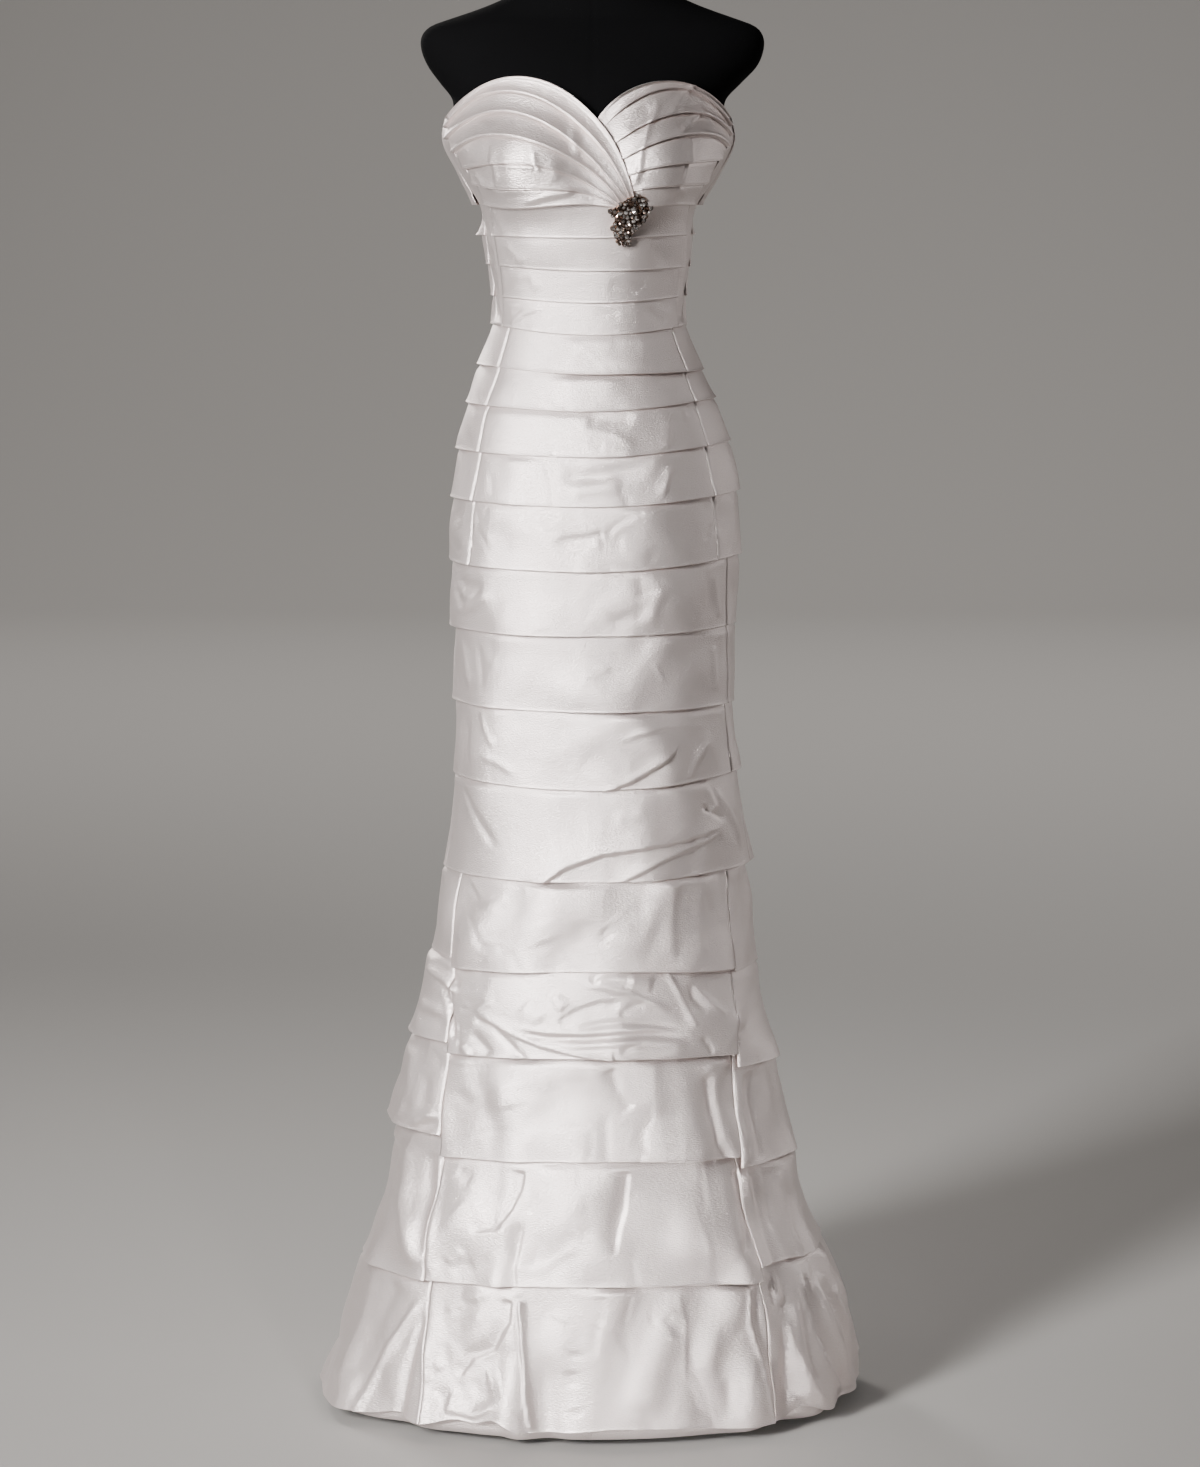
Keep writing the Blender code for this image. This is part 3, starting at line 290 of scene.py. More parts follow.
def blend_rows(rows, height):
    """Every column of a table at an array of heights, on smooth curves through its rows."""
    table = np.array(rows, float)
    levels, values = table[:, 0], table[:, 1:]
    height = np.clip(np.asarray(height, float), levels[0], levels[-1])
    low = np.clip(np.searchsorted(levels, height, side="right") - 1, 0, len(levels) - 2)
    before, after = np.maximum(low - 1, 0), np.minimum(low + 2, len(levels) - 1)
    span = (levels[low + 1] - levels[low])[..., None]
    share = (height - levels[low])[..., None] / span
    slope_low = (values[low + 1] - values[before]) / (levels[low + 1] - levels[before])[..., None]
    slope_high = (values[after] - values[low]) / (levels[after] - levels[low])[..., None]
    ease = (1 + 2 * share) * (1 - share) ** 2
    turn = share * (1 - share) ** 2 * slope_low + share ** 2 * (share - 1) * slope_high
    return ease * values[low] + (1 - ease) * values[low + 1] + span * turn


def section_radius(section, angle):
    """Distance from the axis to a rounded section's edge. Angle 0 is the front, 90 the right."""
    left, right, front, back, power = np.moveaxis(section, -1, 0)
    across, along = np.sin(np.radians(angle)), np.cos(np.radians(angle))
    half_width = np.where(across > 0, right, left)
    depth = np.where(along > 0, front, back)
    return (np.abs(across / half_width) ** power + np.abs(along / depth) ** power) ** (-1 / power)


def turned(angle):
    """An angle as it lies between -180 and 180."""
    return (angle + 180) % 360 - 180


def body_radius(angle, height):
    """Distance from the axis to the inside of the gown."""
    angle, height = np.broadcast_arrays(np.asarray(angle, float), np.asarray(height, float))
    radius = section_radius(blend_rows(BODY, height), angle)
    for bust in BUSTS:
        aside = (turned(angle) - bust.angle) / bust.spread
        above = (height - bust.height) / bust.rise
        radius = radius + bust.out * np.exp(-(aside ** 2 + above ** 2))
    return radius


def placed(angle, radius, height):
    """Points from angles round the body, distances from its axis and heights."""
    turn = np.radians(angle)
    return np.stack([radius * np.sin(turn), -radius * np.cos(turn), height + 0 * radius], axis=-1)


def mesh_object(name, points, faces, material, uv=None):
    """A smooth-shaded object from an array of points and a list of faces."""
    mesh = bpy.data.meshes.new(name)
    mesh.from_pydata(points.tolist(), [], faces)
    if uv is not None:
        layer = mesh.uv_layers.new(name="cloth")
        corners = np.empty(len(mesh.loops), int)
        mesh.loops.foreach_get("vertex_index", corners)
        layer.data.foreach_set("uv", uv[corners].ravel())
    mesh.materials.append(material)
    mesh.validate()
    mesh.shade_smooth()
    return new_object(name, mesh)


def band_faces(first, second, ring):
    """Quads between two rows of point numbers."""
    quads = np.stack([first, np.roll(first, -1), np.roll(second, -1), second], axis=-1)
    return (quads if ring else quads[:-1]).tolist()


jersey = plain_finish("jersey", dark=(0.0018, 0.0018, 0.0020), light=(0.0036, 0.0036, 0.0040),
                      scale=1400, bump=0.5, roughness=0.95, specular=0.05)
levels = np.arange(FORM_FOOT, FORM_JOIN, FORM_STEP)
crown = np.arange(SHOULDERS[0].height, SHOULDERS[-1].height + CROWN_STEP / 3, CROWN_STEP)
angles = np.arange(FORM_SIDES) * 360 / FORM_SIDES
rows = []
for level in levels:
    clearance = blend_rows(FORM_CLEARANCE, np.full(FORM_SIDES, level))[:, 0]
    rows.append(body_radius(angles, level) - clearance)
for level in crown:
    rows.append(section_radius(blend_rows(SHOULDERS, np.full(FORM_SIDES, level)), angles))
heights = np.concatenate([levels, crown])
radii = np.array(rows)
for seam in FORM_SEAMS:
    apart = np.radians(turned(angles - seam)) * radii
    radii -= FORM_SEAM_DEPTH * np.exp(-(apart / FORM_SEAM_WIDTH) ** 2)
points = placed(angles[None, :], radii, heights[:, None]).reshape(-1, 3)
numbers = np.arange(len(points)).reshape(len(heights), FORM_SIDES)
faces = []
for lower, upper in zip(numbers, numbers[1:]):
    faces += band_faces(lower, upper, True)
faces.append(numbers[0][::-1].tolist())
faces.append(numbers[-1].tolist())
torso = mesh_object("torso_cover", points, faces, jersey)
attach(torso, "root")
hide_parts("form_torso")

# ---------------------------------------------------------------- neck cap
# A turned wooden cap closes the neck of the form, lacquered black, with a small knob to lift it by.
lacquer = plain_finish("lacquer", dark=(0.012, 0.011, 0.011), light=(0.022, 0.020, 0.019),
                       scale=260, bump=0.12, roughness=0.32)
repaint("form_neck_cap", lacquer)

# ---------------------------------------------------------------- hem underlayer
# A ring of the same satin inside the hem tier, stitched to it above. It keeps the hem off the floor
# and its edge shows where the hem tier rides up.
CLOTH = 0.0013
LAYER_GAP = 0.0005
FIRST_GAP = 0.0008
FLARE_EASE = 0.0018
CUP_TUCK = 0.006
BODICE_TUCK = 0.008
SKIRT_TUCK = 0.013
BACK_RISE = 0.004
CUP_EDGE = 1.304
SIDE_SEAM = 84
FRONT_STEP = 6
LAST_STIFF_TIER = 16
FIRST_GORED_TIER = 14
CORNER_DIP = 0.010
UNDERLAYER_TOP = 0.150
UNDERLAYER_EDGE = 0.008
UNDERLAYER_GAP = 0.0014
UNDERLAYER_INSET = 0.009
UNDERLAYER_INSET_FROM = 0.45
UNDERLAYER_ROWS = 20
UNDERLAYER_COLUMNS = 300
UNDERLAYER_GIRTH = 0.28
EDGE_CREST = 0.0004
LEAN_GAP = 0.0005
SEAM_GAP = 0.0003
HALF_WAY_FOLD = 0.55
Tier = namedtuple("Tier", "number front left right lift left_lift right_lift")
TIERS = (
    Tier(1, 1.2694, 1.2720, 1.2728, 0.0024, 0.0105, 0.0045),
    Tier(2, 1.2350, 1.2410, 1.2389, 0.0024, 0.0045, 0.0030),
    Tier(3, 1.2016, 1.2080, 1.2080, 0.0024, 0.0030, 0.0030),
    Tier(4, 1.1681, 1.1777, 1.1766, 0.0024, 0.0048, 0.0034),
    Tier(5, 1.1276, 1.1355, 1.1291, 0.0035, 0.0045, 0.0045),
    Tier(6, 1.0891, 1.0948, 1.1002, 0.0035, 0.0050, 0.0050),
    Tier(7, 1.0414, 1.0455, 1.0541, 0.0035, 0.0055, 0.0055),
    Tier(8, 0.9896, 0.9942, 1.0014, 0.0035, 0.0055, 0.0055),
    Tier(9, 0.9215, 0.9259, 0.9335, 0.0035, 0.0050, 0.0050),
    Tier(10, 0.8540, 0.8555, 0.8588, 0.0032, 0.0025, 0.0025),
    Tier(11, 0.7738, 0.7767, 0.7750, 0.0032, 0.0025, 0.0025),
    Tier(12, 0.6911, 0.6977, 0.7019, 0.0032, 0.0025, 0.0055),
    Tier(13, 0.5941, 0.5933, 0.5990, 0.0035, 0.0045, 0.0150),
    Tier(14, 0.5002, 0.5028, 0.4885, 0.0050, 0.0065, 0.0050),
    Tier(15, 0.4098, 0.4135, 0.3890, 0.0055, 0.0160, 0.0095),
    Tier(16, 0.3016, 0.3162, 0.2837, 0.0060, 0.0190, 0.0070),
    Tier(17, 0.1715, 0.1640, 0.1795, 0.0060, 0.0045, 0.0070),
    Tier(18, 0.0170, 0.0130, 0.0130, 0.0000, 0.0000, 0.0000),
)
HEM_TIER = len(TIERS)
SEAT_REACH = 0.009
HOLD_SPAN = 8
SIDE_LIFT_FROM = 50
SIDE_LIFT_SPAN = 36
Seam = namedtuple("Seam", "last_tier left_top left_edge right_top right_edge")
SEAMS = (
    Seam(4, -66, -66, 66, 66),
    Seam(9, -60, -60, 60, 60),
    Seam(12, -84, -84, 70, 70),
    Seam(13, -84, -84, 84, 84),
    Seam(14, -67, -63, 66, 62),
    Seam(15, -63, -59, 62, 57),
    Seam(16, -59, -55, 57, 52),
    Seam(17, -55, -52, 52, 51),
    Seam(18, -52, -47, 51, 51),
)
Fold = namedtuple("Fold", "tier angle width out lean")
FOLDS = (
    Fold(12, 34, 9, 0.0050, 6),
    Fold(13, -18, 9, 0.0030, 0),
    Fold(13, 28, 10, 0.0060, 6),
    Fold(15, 10, 7, 0.0040, 0),
    Fold(15, 58, 9, 0.0050, 0),
    Fold(16, 33, 6, 0.0050, 4),
    Fold(16, 44, 5, -0.0040, 4),
    Fold(17, -30, 5, 0.0050, -8),
    Fold(17, 46, 5, 0.0080, 0),
    Fold(17, 60, 5, -0.0060, 2),
    Fold(17, 74, 6, 0.0060, 0),
    Fold(17, 118, 8, 0.0070, 0),
    Fold(17, 165, 9, 0.0070, 4),
    Fold(17, 214, 8, 0.0070, -4),
    Fold(18, -72, 6, 0.0060, -4),
    Fold(18, -56, 5, -0.0060, -6),
    Fold(18, -22, 4, 0.0080, 3),
    Fold(18, -13, 4, -0.0060, 2),
    Fold(18, 44, 5, 0.0080, 0),
    Fold(18, 56, 4, -0.0100, 2),
    Fold(18, 66, 5, 0.0080, 3),
    Fold(18, 78, 4, -0.0060, 2),
    Fold(18, 100, 8, 0.0080, 0),
    Fold(18, 122, 8, -0.0080, 0),
    Fold(18, 146, 9, 0.0100, 3),
    Fold(18, 172, 8, -0.0080, 0),
    Fold(18, 196, 9, 0.0090, 0),
    Fold(18, 222, 8, -0.0080, -3),
    Fold(18, 248, 9, 0.0080, 0),
)
Wave = namedtuple("Wave", "angle width rise")
HEM_WAVES = (
    Wave(-56, 5, 0.007), Wave(-38, 6, 0.010), Wave(-27, 5, 0.013), Wave(8, 14, 0.005),
    Wave(26, 8, 0.003), Wave(60, 4, 0.010), Wave(110, 8, 0.006), Wave(158, 10, 0.008),
    Wave(208, 9, 0.007), Wave(238, 7, 0.006),
)


def seam_of(number):
    """The row of SEAMS that a tier belongs to."""
    return next(seam for seam in SEAMS if number <= seam.last_tier)


def is_front(number, angle):
    """Whether directions are on a tier's front piece."""
    seam = seam_of(number)
    return (turned(angle) >= seam.left_edge) & (turned(angle) <= seam.right_edge)


def side_blend(left, right, angle):
    """The left value on the left, the right value on the right, and a blend across the back."""
    turn = turned(angle)
    behind = smoothstep(0.5 - turned(angle + 180) / 180)
    share = np.where(np.abs(turn) < 90, np.where(turn > 0, 1.0, 0.0), behind)
    return left + (right - left) * share


# All round the body every half degree. A tier's heights and radii are worked out on these
# directions once, and any other direction is read between them.
GRID_STEP = 0.5
GRID = np.arange(round(360 / GRID_STEP)) * GRID_STEP


def read(values, angle):
    """Values known on the grid of directions, at any array of directions."""
    place = (np.asarray(angle, float) % 360) / GRID_STEP
    low = np.floor(place).astype(int)
    share = place - low
    return values[low % len(GRID)] * (1 - share) + values[(low + 1) % len(GRID)] * share


@lru_cache(maxsize=None)
def edge_height(number, piece="own"):
    """Height of a tier's free edge. Number 0 is the cups and the plain back above the tiers."""
    if number == 0:
        return CUP_EDGE + 0 * GRID
    tier = TIERS[number - 1]
    side = side_blend(tier.left, tier.right, GRID)
    turn = turned(GRID)
    around = np.where(np.abs(turn) > 90, 1.0, np.sin(np.radians(turn)) ** 2)
    if FIRST_GORED_TIER <= number < HEM_TIER:
        front = is_front(number, GRID) if piece == "own" else piece == "front"
        return np.where(front, tier.front - CORNER_DIP * around, side)
    height = tier.front + (side - tier.front) * around
    height = height + np.where(np.abs(turn) > 90, BACK_RISE * np.cos(np.radians(turn)) ** 2, 0.0)
    if number == HEM_TIER:
        for wave in HEM_WAVES:
            height = height + wave.rise * np.exp(-(turned(GRID - wave.angle) / wave.width) ** 2)
    return height


@lru_cache(maxsize=None)
def top_height(number):
    """Height of a tier's upper edge, hidden under the tier above."""
    if number == 1:
        return CUP_EDGE + CUP_TUCK + 0 * GRID
    return edge_height(number - 1) + (SKIRT_TUCK if number > FIRST_GORED_TIER else BODICE_TUCK)


def fold_out(number, angle, share):
    """How far the folds push a tier out, a share of the way down it."""
    out = 0.0 * angle
    for fold in FOLDS:
        if fold.tier == number:
            apart = turned(angle - fold.angle - fold.lean * (share - 1))
            out = out + fold.out * np.exp(-(apart / fold.width) ** 2)
    return out * (HALF_WAY_FOLD + (1 - HALF_WAY_FOLD) * (2 * share - 1))


def seam_hold(angle):
    """0 at the bodice's side seams, where the tiers' ends are sewn in, and 1 away from them."""
    return smoothstep(np.abs(np.abs(turned(angle)) - SIDE_SEAM) / HOLD_SPAN)


def edge_lift(number, angle):
    """How far a tier's free edge stands off the body, without its folds."""
    tier = TIERS[number - 1]
    side_lift = side_blend(tier.left_lift, tier.right_lift, angle)
    beside_front = smoothstep((np.abs(turned(angle)) - SIDE_LIFT_FROM) / SIDE_LIFT_SPAN)
    lift = tier.lift + (side_lift - tier.lift) * beside_front
    return lift * seam_hold(angle) if number <= SEAMS[0].last_tier else lift


def between(profile, height):
    """A profile's inner radius at a height; the profile runs down from its top."""
    radius = profile[-1][1]
    for (high, radius_high), (low, radius_low) in reversed(list(zip(profile, profile[1:]))):
        share = (high - height) / (high - low)
        radius = np.where(height >= low, radius_high + (radius_low - radius_high) * share, radius)
    return radius


def layer_gap(number):
    """Clearance between a tier and the one below it, more if their seams differ."""
    if number == 1:
        return FIRST_GAP + 0 * GRID
    if number < HEM_TIER and seam_of(number) is seam_of(number + 1):
        return LAYER_GAP + 0 * GRID
    return LAYER_GAP + FLARE_EASE * body_radius(GRID, top_height(number))


def cover_radius(number, height, turn):
    """A tier's inside as it hangs of itself, at heights on the grid, read a turn further round."""
    angle = GRID + turn
    edge = read(edge_height(number), angle)
    top = read(top_height(number), angle)
    start = read(seat_radius(number), angle)
    if number == 1:
        top = CUP_EDGE + 0 * GRID
        start = body_radius(angle, top)
    share = (top - height) / (top - edge)
    lift = np.minimum(edge_lift(number, angle), SEAT_REACH)
    if number > LAST_STIFF_TIER:
        return body_radius(angle, height) + share * lift + fold_out(number, angle, share)
    free = body_radius(angle, edge) + lift + fold_out(number, angle, 1.0)
    return start * (1 - share) + free * share


@lru_cache(maxsize=None)
def seat_radius(number):
    """Distance from the axis to the inside of a tier's top, stitched under the tier above it."""
    top = top_height(number)
    on_body = body_radius(GRID, top)
    if number == 1:
        return on_body
    above = number - 1
    reach = 0 if seam_of(above) is seam_of(number) else FRONT_STEP
    cover = np.minimum.reduce([cover_radius(above, top, turn) for turn in (-reach, 0, reach)])
    return np.maximum(on_body, cover - CLOTH - layer_gap(above))


@lru_cache(maxsize=None)
def tier_profile(number, piece="own"):
    """A tier's inside, as (height, radius) pairs on the grid, from its top to its free edge."""
    top = top_height(number)
    edge = edge_height(number, piece)
    start = seat_radius(number)
    end = body_radius(GRID, edge) + edge_lift(number, GRID) + fold_out(number, GRID, 1.0)
    if number == HEM_TIER:
        middle = (top + edge) / 2
        sagging = body_radius(GRID, middle) + fold_out(number, GRID, 0.5)
        return (top, start), (middle, sagging), (edge, end)
    gap = layer_gap(number)
    below = tier_profile(number + 1)
    end = np.maximum(end, between(below, edge) + CLOTH + gap)
    below_top, clear_top = below[0][0], below[0][1] + CLOTH + gap
    if number == 1:
        middle = CUP_EDGE + 0 * GRID
        level = body_radius(GRID, middle)
        share = (middle - below_top) / (middle - edge)
        end = np.maximum(end, level + (clear_top - level) / share)
        return (top, start), (middle, level), (edge, end)
    share = (top - below_top) / (top - edge)
    if number <= LAST_STIFF_TIER:
        return (top, start), (edge, np.maximum(end, start + (clear_top - start) / share))
    bend = body_radius(GRID, below_top) + share * edge_lift(number, GRID)
    bend = bend + fold_out(number, GRID, share)
    return (top, start), (below_top, np.maximum(bend, clear_top)), (edge, end)


def profile_at(number, angle):
    """A tier's profile in any array of directions."""
    return [(read(level, angle), read(radius, angle)) for level, radius in tier_profile(number)]


def satin_effects():
    """Node group: the satin's tone with blotches of painted shade, its gloss and its relief, from
    cloth coordinates in metres.
    """
    group, nodes, links, entry, result = effect_group(
        "satin_effects",
        {"Cloth": "Vector", "Object": "Vector", "Light": "Color", "Shade": "Color"},
        {"Color": "Color", "Roughness": "Float", "Height": "Float"})

    def noise(source, scale, detail, stretch=(1, 1, 1), turn=0.0):
        mapping = nodes.new("ShaderNodeMapping")
        mapping.inputs["Scale"].default_value = stretch
        mapping.inputs["Rotation"].default_value = (0, 0, math.radians(turn))
        texture = nodes.new("ShaderNodeTexNoise")
        texture.inputs["Scale"].default_value = scale
        texture.inputs["Detail"].default_value = detail
        links.new(entry.outputs[source], mapping.inputs["Vector"])
        links.new(mapping.outputs["Vector"], texture.inputs["Vector"])
        return texture.outputs["Fac"]

    def scaled(value, factor, offset=0.0):
        node = nodes.new("ShaderNodeMath")
        node.operation = "MULTIPLY_ADD"
        node.inputs[1].default_value = factor
        node.inputs[2].default_value = offset
        links.new(value, node.inputs[0])
        return node.outputs["Value"]

    def added(first, second):
        node = nodes.new("ShaderNodeMath")
        node.operation = "ADD"
        links.new(first, node.inputs[0])
        links.new(second, node.inputs[1])
        return node.outputs["Value"]

    slub = noise("Cloth", scale=300, detail=4, stretch=(1, 3.2, 1), turn=24)
    yarn = noise("Cloth", scale=1500, detail=2, stretch=(1, 0.35, 1))
    # Broad blotches: they raise the relief, roughen the gloss and darken the colour with painted
    # shade of soft crumples.
    crumples_and_painted_shade = noise("Object", scale=11, detail=4)
    rumple = noise("Object", scale=34, detail=3, stretch=(1, 1, 0.7))
    woven = added(scaled(yarn, 0.30), scaled(slub, 0.70))
    relief = added(added(woven, scaled(rumple, 1.1)), scaled(crumples_and_painted_shade, 1.2))
    links.new(relief, result.inputs["Height"])
    rough = added(scaled(slub, 0.12, 0.27), scaled(crumples_and_painted_shade, 0.10))
    links.new(rough, result.inputs["Roughness"])
    # The colour mixes the light tone with a painted-shade copy of the satin: the slubs darken it as
    # the yarn's own tone, the broad blotches as painted shade.
    tone = nodes.new("ShaderNodeMix")
    tone.data_type = "RGBA"
    links.new(added(scaled(crumples_and_painted_shade, 0.9, -0.3), scaled(slub, 0.80)), tone.inputs["Factor"])
    links.new(entry.outputs["Light"], tone.inputs[MIX_FIRST])
    links.new(entry.outputs["Shade"], tone.inputs[MIX_SECOND])
    links.new(tone.outputs[MIX_RESULT], result.inputs["Color"])
    return group


SATIN_EFFECTS = satin_effects()


def satin_cloth(name, light, shade, sheen):
    """Duchess satin: a smooth warp face with a soft gloss, faint slubs, a fine rumple and blotches
    of painted shade.
    """
    material, nodes, links, shader = new_material(name)
    shader.inputs["Sheen Weight"].default_value = sheen
    shader.inputs["Sheen Roughness"].default_value = 0.40
    shader.inputs["Metallic"].default_value = 0.80
    place = nodes.new("ShaderNodeTexCoord")
    cloth = nodes.new("ShaderNodeUVMap")
    cloth.uv_map = "cloth"
    effects = nodes.new("ShaderNodeGroup")
    effects.node_tree = SATIN_EFFECTS
    effects.inputs["Light"].default_value = (*light, 1)
    effects.inputs["Shade"].default_value = (*shade, 1)
    links.new(cloth.outputs["UV"], effects.inputs["Cloth"])
    links.new(place.outputs["Object"], effects.inputs["Object"])
    links.new(effects.outputs["Color"], shader.inputs["Base Color"])
    links.new(effects.outputs["Roughness"], shader.inputs["Roughness"])
    relief = nodes.new("ShaderNodeBump")
    relief.inputs["Strength"].default_value = 0.80
    relief.inputs["Distance"].default_value = 0.0012
    links.new(effects.outputs["Height"], relief.inputs["Height"])
    links.new(relief.outputs["Normal"], shader.inputs["Normal"])
    return material


# The shade colour is painted shade: a darker, warmer copy of the satin that the blotches mix in.
satin = satin_cloth(
    "satin_face", light=(0.90, 0.808, 0.788), shade=(0.80, 0.703, 0.680), sheen=0.05)


def cloth_object(name, outer, inner, uv, ring=False):
    """A closed sheet between two grids of points, rows from the top down, its free edge rounded."""
    rows, columns = outer.shape[:2]
    crest = (outer[-1] + inner[-1]) / 2
    crest[:, 2] -= EDGE_CREST
    points = np.concatenate([outer.reshape(-1, 3), crest, inner.reshape(-1, 3)])
    flat = np.concatenate([uv.reshape(-1, 2), uv[-1], uv.reshape(-1, 2)])
    outside = np.arange(rows * columns).reshape(rows, columns)
    edge = rows * columns + np.arange(columns)
    inside = rows * columns + columns + np.arange(rows * columns).reshape(rows, columns)
    faces = []
    for upper, lower in zip(outside, outside[1:]):
        faces += band_faces(lower, upper, ring)
    for upper, lower in zip(inside, inside[1:]):
        faces += band_faces(upper, lower, ring)
    faces += band_faces(edge, outside[-1], ring)
    faces += band_faces(inside[-1], edge, ring)
    faces += band_faces(outside[0], inside[0], ring)
    if not ring:
        faces += band_faces(inside[:, 0], outside[:, 0], False)
        faces += band_faces(outside[:, -1], inside[:, -1], False)
        faces.append([int(inside[-1, 0]), int(edge[0]), int(outside[-1, 0])])
        faces.append([int(outside[-1, -1]), int(edge[-1]), int(inside[-1, -1])])
    return mesh_object(name, points, faces, satin, flat)


def hang(piece, outer, node):
    """Puts a sheet on the body in place of a CAD node, and prints its flat size measured along the
    cloth.
    """
    across = np.linalg.norm(np.diff(outer, axis=1), axis=-1).sum(axis=1)
    down = np.linalg.norm(np.diff(outer, axis=0), axis=-1).sum(axis=0)
    build = bmesh.new()
    build.from_mesh(piece.data)
    area = sum(face.calc_area() for face in build.faces) / 2
    build.free()
    width, length = float(across.max()), float(down.max())
    area = min(area, width * length)
    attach(piece, "root")
    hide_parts(node)
    print(f"sheet {piece.name} {width:.3f} x {length:.3f} m, {area:.4f} m2")


angles = np.arange(UNDERLAYER_COLUMNS) * 360 / UNDERLAYER_COLUMNS
hem = profile_at(HEM_TIER, angles)
outer, inner, uv = [], [], []
for share in np.linspace(0, 1, UNDERLAYER_ROWS):
    height = UNDERLAYER_TOP + (UNDERLAYER_EDGE - UNDERLAYER_TOP) * share + 0 * angles
    drawn_in = smoothstep((share - UNDERLAYER_INSET_FROM) / (1 - UNDERLAYER_INSET_FROM))
    inset = UNDERLAYER_GAP + (UNDERLAYER_INSET - UNDERLAYER_GAP) * drawn_in
    radius = between(hem, height) - inset
    outer.append(placed(angles, radius, height))
    inner.append(placed(angles, radius - CLOTH, height))
    uv.append(np.stack([np.radians(angles) * UNDERLAYER_GIRTH, height], axis=-1))
outer, inner, uv = np.array(outer), np.array(inner), np.array(uv)
underlayer = cloth_object("underlayer", outer, inner, uv, ring=True)
hang(underlayer, np.concatenate([outer, outer[:, :1]], axis=1), "hem_underlayer")

# ---------------------------------------------------------------- tiers
# Eighteen bands of satin run round the gown, each a front and a back piece seamed together. The top
# of a band is stitched under the band above, and its lower edge is a soft turned fold left free.
MILLIMETRES = 1000

# A crease runs along a path as the front view shows it. Its width is the one on the left of the
# path's way; sharp is the share of it on the other side, and the fades are shares of the path.
Crease = namedtuple(
    "Crease", "path width height sharp fade_in fade_out", defaults=(1.0, 0.25, 0.25))


def crease_lines(*rows):
    """Creases from rows whose paths, widths and heights are in millimetres."""
    return [Crease([(x / MILLIMETRES, z / MILLIMETRES) for x, z in path],
                   width / MILLIMETRES, height / MILLIMETRES, *shape)
            for path, width, height, *shape in rows]


